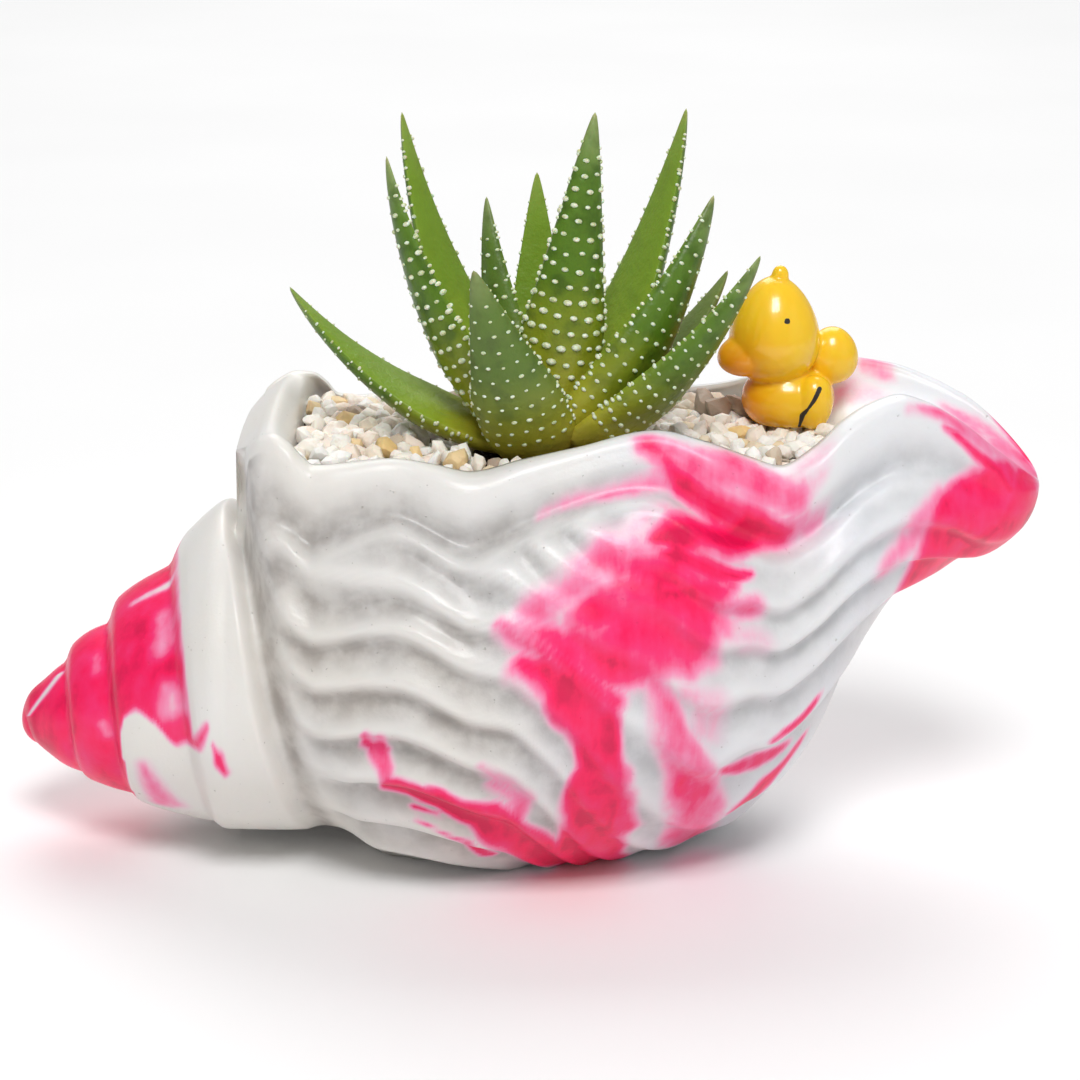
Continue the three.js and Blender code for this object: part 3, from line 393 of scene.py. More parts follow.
BACK_STROKES = [
    UNDER_SPOUT,
    (0.5, 2, [(67.5, -6, 4), (63, -6.5, 3), (58, -6, 1)]),
    (0.85, 1.5, [(68, 0, 3), (66, 2, 4), (62, 9, 5.4), (58, 18, 5.2), (54, 27, 4.6)]),
    (0.45, 1.4, [(46.4, -4, 0.8), (49.2, -3.9, 0.9), (50.5, -3.7, 0.5)]),
    (0.3, 3, [(41, -8.5, 2.5), (44.3, -7.9, 2.8), (47.8, -8.2, 2)]),
    (0.85, 1.2, [(-4, 2, 2), (2, 12, 4), (5, 22, 5), (4, 34, 3.6), (8, 46, 4), (7, 70, 4)]),
    (0.6, 1.6, [(14, 14, 2.4), (18, 26, 3.4), (17, 40, 2.8), (20, 56, 3)]),
    (0.5, 1.6, [(-16, 24, 1.2), (-12, 34, 2.2), (-13, 48, 2.6), (-8, 62, 3)]),
    (0.78, 1, [(27, 44, 1.6), (33, 39, 1.6), (38, 32, 1)]),
]


def brushed(strokes, x, below):
    """How thick the pink glaze lies at x, below the lip."""
    dye = np.zeros_like(x)
    for thick, soft, path in strokes:
        for (x0, below0, half0), (x1, below1, half1) in zip(path, path[1:]):
            run, drop = x1 - x0, below1 - below0
            t = np.clip(((x - x0) * run + (below - below0) * drop) / (run ** 2 + drop ** 2), 0, 1)
            away = np.hypot(x - x0 - t * run, below - below0 - t * drop) - mix(half0, half1, t)
            dye = np.maximum(dye, thick * ease(soft, -soft, away))
    return dye


# The spire is dipped in pink up to a seam: how far round from the top it lies on each coil, in
# half turns, and the turn it ends at. Below the seam come a few soft runs, and on the swells the
# pink is thinned to pale as painted highlights. Both are strokes in millimetres along and round the
# coils.
SEAM = [(2.08, 1.1), (2.18, 0.5), (2.29, 0.45), (2.45, 0.44), (2.68, 0.48), (2.92, 0.55),
        (3.12, 0.54)]
SEAM_END, DIP_THICKNESS = 3.08, 0.92
COIL_LENGTH, HALF_TURN_LENGTH = 8, 48
SPIRE_STROKES = [
    (0.55, 1.6, [(19.6, 28.6, 0.6), (19.9, 31, 0.9), (20.6, 36, 1.6)]),
    (0.85, 0.8, [(24, 25.6, 0.7), (25, 25.8, 0.6), (26.3, 24.2, 0.4)]),
    (0.95, 0.9, [(27.2, 26, 0.1), (28, 27.6, 0.9), (28.9, 29.2, 0.3)]),
]
PAINTED_HIGHLIGHTS = [
    (0.55, 1.4, [(23, 10.5, 0.7), (23, 15, 0.8)]),
    (0.6, 1.4, [(23.2, 19.5, 0.7), (23.5, 22, 0.9)]),
    (0.4, 1.5, [(14.1, 9.5, 0.6), (14.3, 13, 0.7)]),
    (0.45, 1.2, [(14.6, 23, 0.5), (15, 25, 0.6)]),
    (0.85, 0.7, [(0.8, 18, 0.5), (3.8, 12, 0.7), (7, 6.2, 0.8)]),
    (0.85, 0.7, [(20, 5.3, 0.4), (23.6, 5.3, 0.7)]),
]

x, angle = shell[..., 0], np.arctan2(-shell[..., 1], shell[..., 2] - curve(AXIS_Z, shell[..., 0]))
coil, round_from_top = curve(TURNS, x) - angle % (2 * pi) / (2 * pi), np.abs(angle) / pi
along_coil, round_coil = COIL_LENGTH * coil, HALF_TURN_LENGTH * round_from_top
dipped = DIP_THICKNESS * ease(0.02, -0.02, round_from_top - curve(SEAM, coil))
dipped = dipped * ease(0.05, -0.05, curve(TURNS, x) - round_from_top / 2 - SEAM_END)
# Painted highlights: the pink turns pale where the swells catch the light.
dipped = dipped * (1 - brushed(PAINTED_HIGHLIGHTS, along_coil, round_coil))
on_spire = ease(-36, -39, x)
below = np.where(shell[..., 1] < 0, below_front, below_back)
sway_x = x + SWAY * np.sin(0.4 * below + 0.3 * x)
sway_below = below + SWAY * np.sin(0.5 * x - 0.2 * below)
dye = mix(brushed(FRONT_STROKES, sway_x, sway_below), brushed(BACK_STROKES, sway_x, sway_below),
          ease(-1.5, 1.5, shell[..., 1]))
runs = brushed(SPIRE_STROKES, along_coil, round_coil)
dye = np.maximum(dye, np.maximum(dipped, runs) * on_spire)
# Less dust and painted shade lie in the valleys towards the spout.
hollow = hollow * (1 - 0.45 * ease(0, 35, x))

bpy.ops.object.select_all(action="DESELECT")
bpy.ops.mesh.primitive_uv_sphere_add(segments=shell.shape[1], ring_count=RINGS_ALONG + 1)
pot = bpy.context.object
pot.name = "shell_planter"
mould(pot, shell, (TIP_X, 0, TIP_Z), (APEX_X, 0, AXIS_Z[0][1]), hollow=hollow, dye=dye)
bpy.ops.object.shade_smooth()


class Shade:
    """A socket of a material's nodes. Arithmetic on it adds Math nodes to the material."""

    def __init__(self, socket):
        self.socket = socket

    def node(self, kind, inputs, out=0, stops=None, **settings):
        """Adds a node, with its settings first and then the values or links of its sockets."""
        tree = self.socket.id_data
        made = tree.nodes.new("ShaderNode" + kind)
        for name, value in settings.items():
            setattr(made, name, value)
        for i, (place, colour) in enumerate(stops or []):
            ramp = made.color_ramp.elements
            stop = ramp[i] if i < 2 else ramp.new(place)
            stop.position, stop.color = place, (*colour, 1)
        for name, value in inputs.items():
            if isinstance(value, Shade):
                tree.links.new(value.socket, made.inputs[name])
            else:
                made.inputs[name].default_value = value
        return Shade(made.outputs[out])

    def math(self, operation, *values):
        return self.node("Math", dict(enumerate(values)), operation=operation)

    def __add__(self, other):
        return self.math("ADD", self, other)

    def __sub__(self, other):
        return self.math("SUBTRACT", self, other)

    def __rsub__(self, other):
        return self.math("SUBTRACT", other, self)

    def __mul__(self, other):
        return self.math("MULTIPLY", self, other)

    __radd__ = __add__
    __rmul__ = __mul__

    def step(self, low, high):
        """0 below low and 1 above high, with a smooth change between."""
        return self.node("MapRange", {0: self, 1: low, 2: high}, interpolation_type="SMOOTHSTEP")

    def between(self, colour, other):
        """One colour where this is 0 and the other where it is 1."""
        wide = [c if isinstance(c, Shade) else (*c, 1) for c in (colour, other)]
        return self.node("Mix", {0: self, 6: wide[0], 7: wide[1]}, out=2, data_type="RGBA")

    def ramp(self, stops):
        """The colour between the stops (place, colour), which are given in rising order."""
        return self.node("ValToRGB", {0: self}, stops=stops)

    def noise(self, scale, detail=2, stretch=(1, 1, 1)):
        """Noise on a place, stretched along an axis where stretch is less than 1."""
        place = self.node("Mapping", {"Vector": self, "Scale": stretch})
        return self.node("TexNoise", {"Vector": place, "Scale": scale, "Detail": detail})

    def bump(self, height):
        """The surface's normal, with the surface raised by this many metres where this is 1."""
        return self.node("Bump", {"Height": self, "Distance": height, "Strength": 1})


def new_material(name, **constants):
    """A material, its shader, and the object's own coordinates."""
    material = bpy.data.materials.new(name)
    material.use_nodes = True
    shader = material.node_tree.nodes["Principled BSDF"]
    for socket, value in constants.items():
        shader.inputs[socket.replace("_", " ")].default_value = value
    place = material.node_tree.nodes.new("ShaderNodeTexCoord").outputs["Object"]
    return material, shader, Shade(place)


def feed(shader, **values):
    """Links what changes over a surface to its shader's sockets."""
    for socket, value in values.items():
        shader.id_data.links.new(value.socket, shader.inputs[socket.replace("_", " ")])


def attribute(place, name):
    """A number that the mesh carries at its corners."""
    return place.node("Attribute", {}, out=2, attribute_name=name)


GLAZE_CREAM, GLAZE_COOL = (0.81, 0.78, 0.73), (0.80, 0.81, 0.84)
# Colours of the dust and of the painted shade in the hollows.
DUST_AND_SHADE_BROWN, DUST_AND_SHADE_GREY = (0.33, 0.29, 0.26), (0.36, 0.37, 0.39)
PIT_GREY = (0.25, 0.22, 0.2)
# The pink glaze's colour by how thick it lies.
PINKS = [(0.2, (0.92, 0.50, 0.66)), (0.45, (0.94, 0.26, 0.46)), (0.72, (0.95, 0.035, 0.19)),
         (0.9, (0.96, 0.008, 0.11)), (1, (0.74, 0.004, 0.08))]

glaze, shader, place = new_material("satin_glaze", Specular_IOR_Level=0.36, Coat_Weight=0.12,
                                    Coat_Roughness=0.18, Subsurface_Weight=0.06,
                                    Subsurface_Scale=0.002)
sunk = attribute(place, "hollow")
thick = attribute(place, "dye")
streaks = place.noise(420, 3, (1, 1, 0.25))
blotches = place.noise(150, 4)
# Pink breaks up in brush streaks at its edges and in blotches where it covers, and pools in
# the hollows.
edge = (thick * (1 - thick)).step(0, 0.24)
covered = thick.step(0.1, 0.6)
pink = thick + (streaks - 0.5) * (edge * 0.26 + covered * 0.24) + (blotches - 0.56) * 0.6 * covered
pink = pink + sunk * 0.16 * thick.step(0.3, 0.7)
# The white is cream by the spire and cooler by the spout, with dust and painted shade darkening its
# hollows, the neck under the lip and the furrow by the spire, and a few pinholes from the firing.
towards_spout = place.node("SeparateXYZ", {0: place}).step(-0.02, 0.03)
cool = towards_spout * 0.7 + place.noise(38, 2).step(0.35, 0.65) * 0.3
white, dust_and_shade = cool.between(GLAZE_CREAM, GLAZE_COOL), cool.between(DUST_AND_SHADE_BROWN, DUST_AND_SHADE_GREY)
dusted_and_shaded = (sunk * (0.45 + place.noise(260, 4).step(0.3, 0.7) * 0.45)).between(white, dust_and_shade)
pits = place.noise(1500, 1).step(0.74, 0.8)
pitted = (pits * 0.35).between(dusted_and_shaded, PIT_GREY)
painted = pink.step(0.02, 0.42).between(pitted, pink.ramp(PINKS))
grain = place.noise(2600, 2) * 0.35 + place.noise(420, 3) - pits * 0.8
feed(shader, Base_Color=painted, Roughness=0.3 + place.noise(160, 3) * 0.16 + pits * 0.2,
     Normal=grain.bump(0.00007))
pot.data.materials.append(glaze)
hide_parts("pot")
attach(pot, "root")


# ------------------------ potting soil
# Dark peat and bark crumbs fill the planter under the grit. The block of soil keeps its
# shape, and loose crumbs lie on it where the grit is open round the plant.

SOIL_TOP = 56.2
CRUMBS = 620
PLANT = (2, -5)
SOIL_DARK, SOIL_BROWN = (0.012, 0.008, 0.006), (0.07, 0.04, 0.025)

earth, shader, place = new_material("potting_soil", Specular_IOR_Level=0.2)
crumble = place.noise(700, 6)
feed(shader, Base_Color=crumble.step(0.35, 0.7).between(SOIL_DARK, SOIL_BROWN),
     Roughness=0.85 + crumble * 0.15, Normal=crumble.bump(0.0006))
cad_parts["soil"].material_slots[0].material = earth


def copies(pattern, matrices):
    """Copies of a modelled piece, each with its own mesh, turned and placed."""
    made = []
    for i, matrix in enumerate(matrices):
        copy = bpy.data.objects.new(f"{pattern.name}_{i}", pattern.data.copy())
        copy.data.transform(matrix)
        bpy.context.scene.collection.objects.link(copy)
        made.append(copy)
    return made


def join(pieces, name):
    """The pieces as one, the first of them, under this name."""
    bpy.ops.object.select_all(action="DESELECT")
    for piece in pieces:
        piece.select_set(True)
    bpy.context.view_layer.objects.active = pieces[0]
    bpy.ops.object.join()
    pieces[0].name = name
    return pieces[0]


def turned(random, size, at):
    """A place at a random turn, with half sizes and a middle in millimetres."""
    axis = Vector(random.normal(size=3)).normalized()
    turn = Matrix.Rotation(random.uniform(0, 2 * pi), 4, axis)
    return Matrix.Translation(Vector(at) * MM) @ turn @ Matrix.Diagonal((*(s * MM for s in size), 1))


bpy.ops.object.select_all(action="DESELECT")
bpy.ops.mesh.primitive_ico_sphere_add(subdivisions=1, radius=1)
crumb = bpy.context.object
crumb.name = "crumb"
random = np.random.default_rng(3)
crumbs = []
while len(crumbs) < CRUMBS:
    x, y = random.uniform(-33, 40), random.uniform(-19, 19)
    rim = min(curve(FRONT_Y, x) + y, curve(BACK_Y, x) - y)
    if rim > 1.5:
        size = random.uniform(0.3, 1.1) * np.array([1, random.uniform(0.5, 1), random.uniform(0.4, 0.8)])
        crumbs.append(turned(random, size, (x, y, SOIL_TOP + random.uniform(0, 0.7))))
soil_crumbs = join(copies(crumb, crumbs), "soil_crumbs")
bpy.data.objects.remove(crumb)
soil_crumbs.data.materials.append(earth)
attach(soil_crumbs, "root")


# ------------------------ plant
# A rosette of stiff pointed leaves that clasp a stub of stem. Each leaf is one fleshy body with
# a rounded outer face and a smoother inner one, set with rows of white tubercles.

STEM_PALE, STEM_BROWN = (0.30, 0.27, 0.10), (0.10, 0.06, 0.03)
# Each leaf: where its tip is, which way its outer face looks, how far it stands from the
# rosette's middle at its foot, the height of its foot, its half width, and how far it bows
# out; then half the length of its tubercles, and how dull and grey its skin is.
Leaf = namedtuple("Leaf", "tip faces stand foot_z half_width bow tubercle dullness")
LEAVES = [Leaf(*row) for row in (
    ((-7.1, -19, 85.4), (-0.2, -1), 4.6, 59.5, 6.4, 3, 0.31, 0.5),
    ((24.3, -4, 92.1), (0.72, -0.7), 4.4, 60, 5.9, 5, 0.36, 0.05),
    ((30.2, -10, 85.3), (0.85, -0.5), 6, 59.8, 6, 4.5, 0.34, 0.1),
    ((-32, -3, 79.5), (-1, 0.12), 4.6, 59.6, 5.8, 6, 0.3, 0.05),
    ((-18.7, -5, 97.5), (-0.85, -0.5), 3.6, 60, 5.2, 6, 0.46, 0),
    ((8.6, -5, 103.3), (0.15, -1), 3, 61.5, 5.7, 1.5, 0.52, 0),
    ((21.2, 10, 101.2), (0.85, 0.55), 3.6, 60.5, 6, 4, 0.42, 0.05),
    ((-17.3, 10, 100.7), (-0.8, 0.6), 3.6, 60.5, 5.2, 6, 0.42, 0.05),
    ((-5.7, -1, 91.3), (-0.75, -0.65), 2.6, 62.5, 4.6, 2, 0.38, 0.3),
    ((1, 5, 93.4), (-0.15, 1), 2.6, 62.5, 4.5, 1.5, 0.36, 0.1),
    ((26.9, 5, 79.9), (1, 0.4), 4.4, 60, 5.8, 4, 0.4, 1),
    ((2.5, 18, 82.4), (0, 1), 4.2, 60, 4.8, 4, 0.45, 0.2),
    ((13.3, 17, 79.4), (0.5, 0.85), 4.2, 59.5, 4.6, 4, 0.45, 0.2),
    ((-11.4, 16, 80.8), (-0.6, 0.8), 4.2, 59.5, 4.6, 4, 0.45, 0.2),
)]
# By the share of a leaf's length from its foot: its width, how far its outer face bulges for
# its width, and its colour.
LEAF_TAPER = [(0, 0.86), (0.12, 0.98), (0.3, 0.97), (0.5, 0.74), (0.7, 0.48), (0.85, 0.28),
              (0.95, 0.13), (1, 0.03)]
LEAF_BULGE = [(0, 0.5), (0.3, 0.56), (0.7, 0.66), (1, 0.8)]
FLESH = [(0, (0.42, 0.35, 0.04)), (0.12, (0.42, 0.40, 0.03)), (0.28, (0.24, 0.28, 0.015)),
         (0.5, (0.09, 0.18, 0.01)), (0.8, (0.1, 0.2, 0.02)), (0.97, (0.24, 0.32, 0.11)),
         (1, (0.42, 0.42, 0.2))]
DULL_GREEN, LIT_WINDOW_GREEN, DEEP_GREEN = (0.16, 0.19, 0.07), (0.27, 0.42, 0.03), (0.03, 0.07, 0.005)
WAX_GREEN, WAX_WHITE = (0.50, 0.56, 0.26), (0.84, 0.86, 0.70)
LEAF_RINGS, LEAF_STEPS = 60, 28
# Millimetres between rows of tubercles, between those of a row, and between those on an edge,
# and the shares of the length where the rows and the edges begin.
ROW_SPACING, TUBERCLE_SPACING, EDGE_SPACING = 2.05, 1.7, 1.7
ROWS_FROM, EDGES_FROM = 0.15, 0.13

flesh, shader, place = new_material("leaf_flesh", Specular_IOR_Level=0.28, Subsurface_Weight=0.12,
                                    Subsurface_Scale=0.0015, Coat_Weight=0.06, Coat_Roughness=0.15)
up, inner, dull = (attribute(place, name) for name in ("up", "inner", "dull"))
mottle = place.noise(650, 4)
green = (up + (place.noise(240, 3) - 0.5) * 0.12).ramp(FLESH)
green = (place.noise(330, 3).step(0.45, 0.7) * 0.55 * up.step(0.1, 0.4)).between(green, DEEP_GREEN)
# The inner faces are paler: a window green, partly painted light on the faces turned up.
green = (inner * up.step(0.12, 0.35) * 0.6).between(green, LIT_WINDOW_GREEN)
green = (dull * (0.35 + mottle * 0.6) * up.step(0.12, 0.4)).between(green, DULL_GREEN)
feed(shader, Base_Color=green, Roughness=0.3 + mottle * 0.16 + dull * 0.18,
     Normal=(mottle + place.noise(1900, 2) * 0.4).bump(0.00016))

wax, shader, place = new_material("tubercle_wax", Subsurface_Weight=0.25, Subsurface_Scale=0.0008)
chalk = place.noise(1500, 3)
feed(shader, Base_Color=chalk.step(0.3, 0.65).between(WAX_GREEN, WAX_WHITE),
     Roughness=0.42 + chalk * 0.2, Normal=chalk.bump(0.00005))

stem_bark, shader, place = new_material("stem_skin", Subsurface_Weight=0.1, Subsurface_Scale=0.001)
rings = place.noise(500, 3, (0.3, 0.3, 1))
feed(shader, Base_Color=rings.step(0.35, 0.65).between(STEM_BROWN, STEM_PALE),
     Roughness=0.5 + rings * 0.3, Normal=rings.bump(0.0002))
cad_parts["stem"].material_slots[0].material = stem_bark


def leaf_frame(leaf, u):
    """The middle of a leaf at u from foot to tip, and its directions along, outwards, across."""
    out, tip = Vector((*leaf.faces, 0)).normalized(), Vector(leaf.tip)
    foot = Vector((*PLANT, leaf.foot_z)) + out * leaf.stand
    chord = tip - foot
    face = (out - chord * (out.dot(chord) / chord.length_squared)).normalized()
    bend = (foot + tip) / 2 + face * leaf.bow
    along = ((bend - foot) * (1 - u) + (tip - bend) * u).normalized()
    outward = (face - along * face.dot(along)).normalized()
    return foot.lerp(bend, u).lerp(bend.lerp(tip, u), u), along, outward, along.cross(outward)


def leaf_points(leaf, u, across, outward):
    """Places on a leaf's skin at u: across in half widths, and outwards in bulges."""
    centre, _, out, side = (np.array(part) for part in leaf_frame(leaf, u))
    half = leaf.half_width * curve(LEAF_TAPER, u)
    bulge = half * curve(LEAF_BULGE, u)
    return centre + np.outer(across, side * half) + np.outer(outward, out * bulge)


bpy.ops.object.select_all(action="DESELECT")
bpy.ops.mesh.primitive_uv_sphere_add(segments=8, ring_count=6, radius=1)
bpy.ops.object.mode_set(mode="EDIT")
bpy.ops.mesh.bisect(plane_co=(0, 0, -0.35), plane_no=(0, 0, 1), clear_inner=True, use_fill=True)
bpy.ops.object.mode_set(mode="OBJECT")
bpy.ops.object.shade_smooth()
tubercle = bpy.context.object
tubercle.name = "tubercle"
tubercle.data.materials.append(wax)

random = np.random.default_rng(11)
# A leaf's rings run from tip to foot. Each is round outside and nearly flat inside.
angle = np.linspace(0, 2 * pi, LEAF_STEPS, endpoint=False)
leaf_across = -np.cos(angle)
leaf_outward = np.where(np.sin(angle) > 0, np.abs(np.sin(angle)) ** 0.9, -0.2 * np.abs(np.sin(angle)))
ring_u = 0.988 * np.sin(np.linspace(pi / 2, 0, LEAF_RINGS)) ** 1.1
for number, leaf in enumerate(LEAVES, 1):
    table = np.array([leaf_points(leaf, u, leaf_across, leaf_outward) for u in ring_u])
    up = np.repeat(ring_u[:, None], LEAF_STEPS, 1)
    inner = np.repeat(ease(0.1, -0.1, np.sin(angle))[None], LEAF_RINGS, 0)
    bpy.ops.object.select_all(action="DESELECT")
    bpy.ops.mesh.primitive_uv_sphere_add(segments=LEAF_STEPS, ring_count=LEAF_RINGS + 1)
    body = bpy.context.object
    mould(body, table, leaf_frame(leaf, 1)[0], leaf_frame(leaf, 0)[0],
          up=up, inner=inner, dull=np.full_like(up, leaf.dullness))
    bpy.ops.object.shade_smooth()
    body.data.materials.append(flesh)

    # Where the tubercles sit: how far up the leaf, how far across and outwards, and how big.
    length = (Vector(leaf.tip) - leaf_frame(leaf, 0)[0]).length
    places = []
    for row in range(int(0.82 * length / ROW_SPACING)):
        u = ROWS_FROM + row * ROW_SPACING / length
        half = leaf.half_width * float(curve(LEAF_TAPER, u))
        count = max(1, round(half * 2.5 / TUBERCLE_SPACING))
        for k in range(count + 1):
            lean = pi * (k + 0.5 * (row % 2)) / (count + 0.5)
            places.append((u - 0.022 * sin(lean), cos(lean), max(sin(lean), 0), 1))
    for row in range(int(0.84 * length / EDGE_SPACING)):
        u = EDGES_FROM + row * EDGE_SPACING / length
        places += [(u, 1, 0.05, 0.85), (u + 0.012, -1, 0.05, 0.85)]
    matrices = []
    for u, aside, raised, size in places:
        u = u + random.uniform(-0.006, 0.006)
        _, along, outward, across = leaf_frame(leaf, u)
        normal = (outward * raised + across * aside * 0.7).normalized()
        half = leaf.tubercle * size * random.uniform(0.75, 1.2) * mix(1, 0.62, u) * MM
        sideways = along.cross(normal).normalized()
        turn = Matrix((sideways, normal.cross(sideways), normal)).transposed().to_4x4()
        matrices.append(Matrix.Translation(leaf_points(leaf, u, aside, raised)[0] * MM) @ turn
                        @ Matrix.Diagonal((half * 1.35, half * 0.9, half * 0.85, 1)))
    body = join([body, *copies(tubercle, matrices)], f"haworthia_leaf_{number:02d}")
    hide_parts(f"leaf_{number:02d}")
    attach(body, "root")
bpy.data.objects.remove(tubercle)


# ------------------------ white grit
# Washed white quartz grit, 2 to 4 mm, poured over the soil round the plant. Each stone is a
# broken crystal with worn edges: most are white or cream, a few are yellow, pink or brown.

GRIT_FRONT, GRIT_BACK = 59.4, 58.9
GRIT_LEFT, GRIT_RIGHT = -31, 41
DUCK = (35.2, 3.4)
STONE_SPACING, STONE_HALF = 2.6, (1.25, 1.9)
STONE_LAYERS = (0.9, 2.6)
STONE_PATTERNS, STONE_FACETS = 7, 9
BROWN_STONES = [(26, 5.5, 60.4), (28.6, 6.5, 60.2), (24.3, 8, 60.3)]
BROWN_HALF_SIZES, BROWN_TONE = (2.3, 2, 1.9), 1
DUCK_REACH, PLANT_REACH = 6.3, 5.5


def grit_level(x, y):
    """The height of the grit's gently uneven top."""
    return mix(GRIT_FRONT, GRIT_BACK, ease(-18, 18, y)) + 0.35 * sin(0.31 * x + 1) * cos(0.27 * y)


random = np.random.default_rng(5)
patterns = []
for k in range(STONE_PATTERNS):
    bpy.ops.object.select_all(action="DESELECT")
    bpy.ops.mesh.primitive_ico_sphere_add(subdivisions=1, radius=1.08)
    bpy.ops.object.mode_set(mode="EDIT")
    bpy.ops.transform.resize(value=(1.25, 1, random.uniform(0.75, 1)))
    for _ in range(STONE_FACETS):
        facing = Vector(random.normal(size=3)).normalized()
        bpy.ops.mesh.select_all(action="SELECT")
        bpy.ops.mesh.bisect(plane_co=facing * random.uniform(0.58, 0.85), plane_no=facing,
                            clear_outer=True, use_fill=True)
    bpy.ops.mesh.select_all(action="SELECT")
    bpy.ops.mesh.convex_hull()
    bpy.ops.mesh.dissolve_limited(angle_limit=radians(14))
    bpy.ops.object.mode_set(mode="OBJECT")
    stone = bpy.context.object
    stone.name = f"stone_{k}"
    rounded = stone.modifiers.new("worn_edges", "BEVEL")
    rounded.width, rounded.segments, rounded.limit_method = 0.13, 1, "NONE"
    bpy.ops.object.modifier_apply(modifier=rounded.name)
    bpy.ops.object.shade_smooth()
    patterns.append(stone)


# Where the leaves' feet stand, and how thick they are there.
flesh_places = [(*leaf_frame(leaf, u), leaf.half_width * float(curve(LEAF_TAPER, u)) + 0.5)
                for leaf in LEAVES for u in (0, 0.06, 0.12, 0.18, 0.25, 0.35, 0.5, 0.65)]


def in_leaf(place):
    """Whether a stone poured here would cut into a leaf."""
    return any((place - centre).length < half * 1.3 and abs((place - centre).dot(out)) < half * 0.75
               for centre, _, out, _, half in flesh_places)


# Each stone: its pattern, its place, and its tone. The top layer and the one under it are
# heaped to just below the rims, and lie lower where the duck's seat is pressed in.
stones = []
for layer, sink in enumerate(STONE_LAYERS):
    for i in range(-15, 17):
        for j in range(-9, 10):
            x = (i + 0.5 * (j % 2) + 0.5 * layer) * STONE_SPACING * 1.05 + random.uniform(-0.5, 0.5)
            y = j * STONE_SPACING * 0.92 + random.uniform(-0.5, 0.5)
            rim = min(curve(FRONT_Y, x) + y, curve(BACK_Y, x) - y)
            if not (GRIT_LEFT < x < GRIT_RIGHT and rim > 0.7):
                continue
            z = grit_level(x, y) - sink + random.uniform(-0.35, 0.55) + 0.3 * (layer == 0)
            heaped = min(curve(FRONT_Z, x) + 0.6 * (curve(FRONT_Y, x) + y) - 1.9,
                         curve(BACK_Z, x) + 0.6 * (curve(BACK_Y, x) - y) - 1)
            z = min(z, heaped)
            if np.hypot(x - DUCK[0] - 0.5, y - DUCK[1]) < DUCK_REACH:
                z = min(z, grit_level(*DUCK) - 1.1)
            if np.hypot(x - PLANT[0], y - PLANT[1]) < PLANT_REACH or in_leaf(Vector((x, y, z))):
                continue
            size = random.uniform(*STONE_HALF) * np.array(
                [1, random.uniform(0.75, 1), random.uniform(0.7, 1)])
            stones.append((random.integers(STONE_PATTERNS), turned(random, size, (x, y, z)),
                           random.random()))
for at in BROWN_STONES:
    stones.append((2, turned(random, BROWN_HALF_SIZES, at), BROWN_TONE))
made = []
for k, pattern in enumerate(patterns):
    places, tones = zip(*((place, tone) for number, place, tone in stones if number == k))
    for piece, tone in zip(copies(pattern, places), tones):
        corners = piece.data.attributes.new("tone", "FLOAT", "POINT").data
        corners.foreach_set("value", np.full(len(corners), tone))
        made.append(piece)
    bpy.data.objects.remove(pattern)
grit = join(made, "white_grit_stones")

TONES = [(0, (0.93, 0.89, 0.82)), (0.3, (0.94, 0.92, 0.89)), (0.55, (0.93, 0.86, 0.76)),
         (0.72, (0.90, 0.77, 0.66)), (0.84, (0.93, 0.91, 0.88)), (0.92, (0.85, 0.60, 0.25)),
         (0.96, (0.80, 0.68, 0.52)), (1, (0.40, 0.31, 0.24))]
RUST = (0.55, 0.40, 0.26)
quartz, shader, place = new_material("broken_quartz", Subsurface_Weight=0.12, Subsurface_Scale=0.001)
tone = attribute(place, "tone").ramp(TONES)
veins = place.noise(900, 5)
stained = (veins.step(0.54, 0.74) * 0.4).between(tone, RUST)
feed(shader, Base_Color=stained, Roughness=0.5 + veins * 0.25, Normal=veins.bump(0.00022))
grit.data.materials.append(quartz)
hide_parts("grit")
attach(grit, "root")


# ------------------------ duck
# A miniature duckling cast in one piece of glossy tinted resin, standing on the grit. Its
# eye is painted on with a fine black brush, and the black lines round its wing are ink and
# painted shade in the crevice between wing and body.

SEAT = grit_level(*DUCK) + 0.35
# Each lobe: its middle, its half sizes, and how much narrower it is at its top.
DUCK_LOBES = [
    ((-1.9, -0.4, 12.8), (6.1, 5.8, 7.5), 0.22),
    ((0.2, 0, 3.2), (6.4, 5.4, 4.8), 0),
    ((6.2, 1.4, 8.8), (3.6, 3.2, 4), 0.1),
    ((3.5, -3.5, 3.3), (2.6, 2.4, 3.9), -0.1),
    ((-5.9, -1.6, 9.6), (3.8, 3.5, 2.9), 0.12),
    ((-1.3, -0.4, 20.3), (1.2, 1, 1.5), 0),
]
VOXEL = 0.2
# From the front, from the middle of the seat: the points (x, z, half width) of the black lines
# round the wing, ink and painted shade of its crevice, with how soft their edges are, and the
# eye's (x, z, radius).
INK_AND_SHADE_SOFT = 0.12
INK_AND_SHADE_LINES = [[(4, 5.8, 0.32), (3.3, 4.4, 0.28), (2.5, 3.1, 0.18), (1.8, 2.1, 0.34), (1.5, 0.2, 0.2)],
             [(6.2, 4, 0.1), (6.2, 2.6, 0.14), (5.4, 0.8, 0.14)]]
EYE = (-0.6, 15.2, 0.38)
INK_AND_SHADE_BLACK = (0.01, 0.006, 0.005)
YELLOWS = [(0, (0.98, 0.60, 0.02)), (0.45, (0.97, 0.48, 0.012)), (1, (0.95, 0.22, 0.005))]

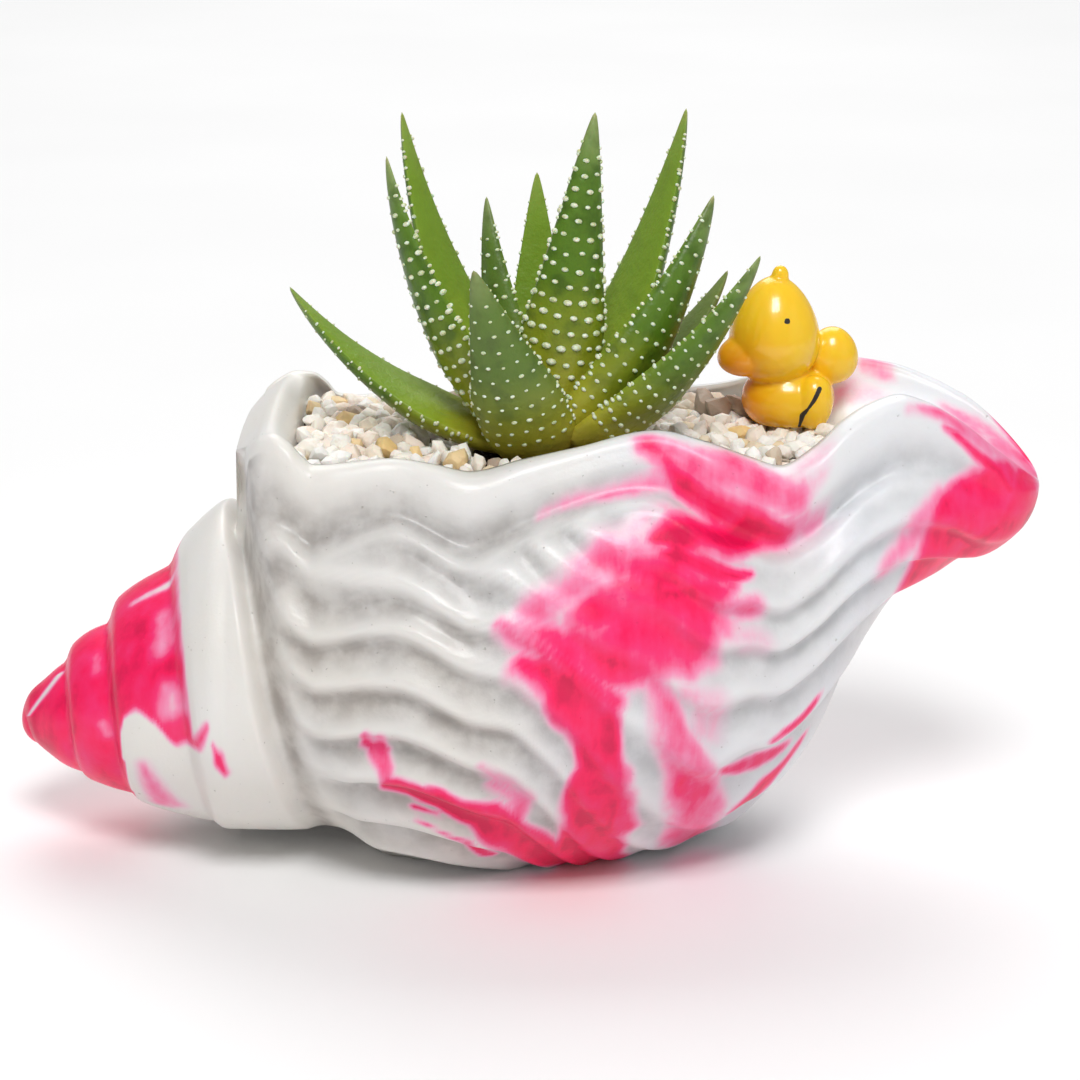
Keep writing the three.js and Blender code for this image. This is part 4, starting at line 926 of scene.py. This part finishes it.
lobes = []
for at, size, narrow in DUCK_LOBES:
    bpy.ops.object.select_all(action="DESELECT")
    bpy.ops.mesh.primitive_uv_sphere_add(segments=48, ring_count=32, radius=1)
    lobe = bpy.context.object
    for corner in lobe.data.vertices:
        waist = 1 - narrow * corner.co.z
        corner.co = Vector((corner.co.x * waist, corner.co.y * waist, corner.co.z))
    lobe.data.transform(Matrix.Translation(Vector((DUCK[0] + at[0], DUCK[1] + at[1], SEAT + at[2])) * MM)
                        @ Matrix.Diagonal((*(s * MM for s in size), 1)))
    lobes.append(lobe)
duck = join(lobes, "resin_duck")
melted = duck.modifiers.new("one_casting", "REMESH")
melted.mode, melted.voxel_size, melted.use_smooth_shade = "VOXEL", VOXEL * MM, True
bpy.ops.object.modifier_apply(modifier=melted.name)
softened = duck.modifiers.new("soft_creases", "SMOOTH")
softened.factor, softened.iterations = 0.5, 8
bpy.ops.object.modifier_apply(modifier=softened.name)
bpy.ops.object.mode_set(mode="EDIT")
bpy.ops.mesh.select_all(action="SELECT")
bpy.ops.mesh.bisect(plane_co=(0, 0, SEAT * MM), plane_no=(0, 0, 1), clear_inner=True, use_fill=True)
bpy.ops.object.mode_set(mode="OBJECT")
bpy.ops.object.shade_smooth()

at = np.empty(len(duck.data.vertices) * 3)
duck.data.vertices.foreach_get("co", at)
x, y, z = at.reshape(-1, 3).T / MM - np.array([[DUCK[0]], [DUCK[1]], [SEAT]])
# The lines round the wing are black ink and painted shade in the crevice between wing and body.
painted_lines = brushed([(1, INK_AND_SHADE_SOFT, line) for line in INK_AND_SHADE_LINES], x, z) * (y < -0.5)
eye = ease(EYE[2] + 0.06, EYE[2] - 0.06, np.hypot(x - EYE[0], z - EYE[1])) * (y < 0)
# The bill is the warmest orange, and the foot a little warmer than the head.
warm = 0.75 * ease(1.5, -7.5, x) * ease(17, 8, z) + 0.12 * ease(8, 0, z)
for name, values in {"ink_and_shade": np.maximum(painted_lines, eye), "warm": np.clip(warm, 0, 1)}.items():
    duck.data.attributes.new(name, "FLOAT", "POINT").data.foreach_set("value", values)

resin, shader, place = new_material("tinted_resin", IOR=1.5, Coat_Weight=0.3, Coat_Roughness=0.04,
                                    Subsurface_Weight=0.35, Subsurface_Scale=0.003,
                                    Subsurface_Radius=(1, 0.45, 0.1))
ink_and_shade = attribute(place, "ink_and_shade")
ink_and_shade = ink_and_shade + (place.noise(1400, 3) - 0.5) * 0.5 * ink_and_shade
yellow = (attribute(place, "warm") + (place.noise(150, 2) - 0.5) * 0.15).ramp(YELLOWS)
feed(shader, Base_Color=ink_and_shade.step(0.35, 0.6).between(yellow, INK_AND_SHADE_BLACK),
     Roughness=0.2 + ink_and_shade.step(0.3, 0.6) * 0.35 + place.noise(300, 2) * 0.05,
     Normal=place.noise(220, 2).bump(0.00012))
duck.data.materials.append(resin)
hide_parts("duck")
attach(duck, "root")


# ------------------------ studio
# A pale table top runs on behind the planter. A small soft lamp hangs over its front and gives
# the gloss its glint, a weak wide one fills the shadows from the right, and a large one behind
# and above washes the table and the leaves.

TABLE_WHITE, TABLE_BRIGHT = (0.92, 0.92, 0.92), (0.95, 0.95, 0.95)
ROOM_LIGHT = 0.3
# Each lamp: its name, its place, its size in metres and its power in watts.
LAMPS = [("soft_key", (0.03, -0.45, 0.66), 0.25, 3.6), ("soft_fill", (0.7, -0.5, 0.4), 0.6, 0.3),
         ("wash", (0, 0.9, 1.1), 1.1, 12)]

bpy.ops.object.select_all(action="DESELECT")
bpy.ops.mesh.primitive_plane_add(size=6)
floor = bpy.context.object
floor.name = "table_top"
paint, shader, place = new_material("table_paint")
feed(shader, Base_Color=place.noise(8, 2).step(0.2, 0.8).between(TABLE_WHITE, TABLE_BRIGHT),
     Roughness=0.7 + place.noise(30, 2) * 0.1)
floor.data.materials.append(paint)

for name, at, size, power in LAMPS:
    bpy.ops.object.light_add(type="AREA", location=at,
                             rotation=(VIEW_CENTRE - Vector(at)).to_track_quat("-Z", "Y").to_euler())
    lamp = bpy.context.object
    lamp.name = name
    lamp.data.size, lamp.data.energy = size, power
world = bpy.data.worlds.new("pale_room")
world.use_nodes = True
background = world.node_tree.nodes["Background"]
background.inputs["Color"].default_value = (1, 1, 1, 1)
background.inputs["Strength"].default_value = ROOM_LIGHT
bpy.context.scene.world = world
bpy.context.scene.view_settings.view_transform = "Standard"
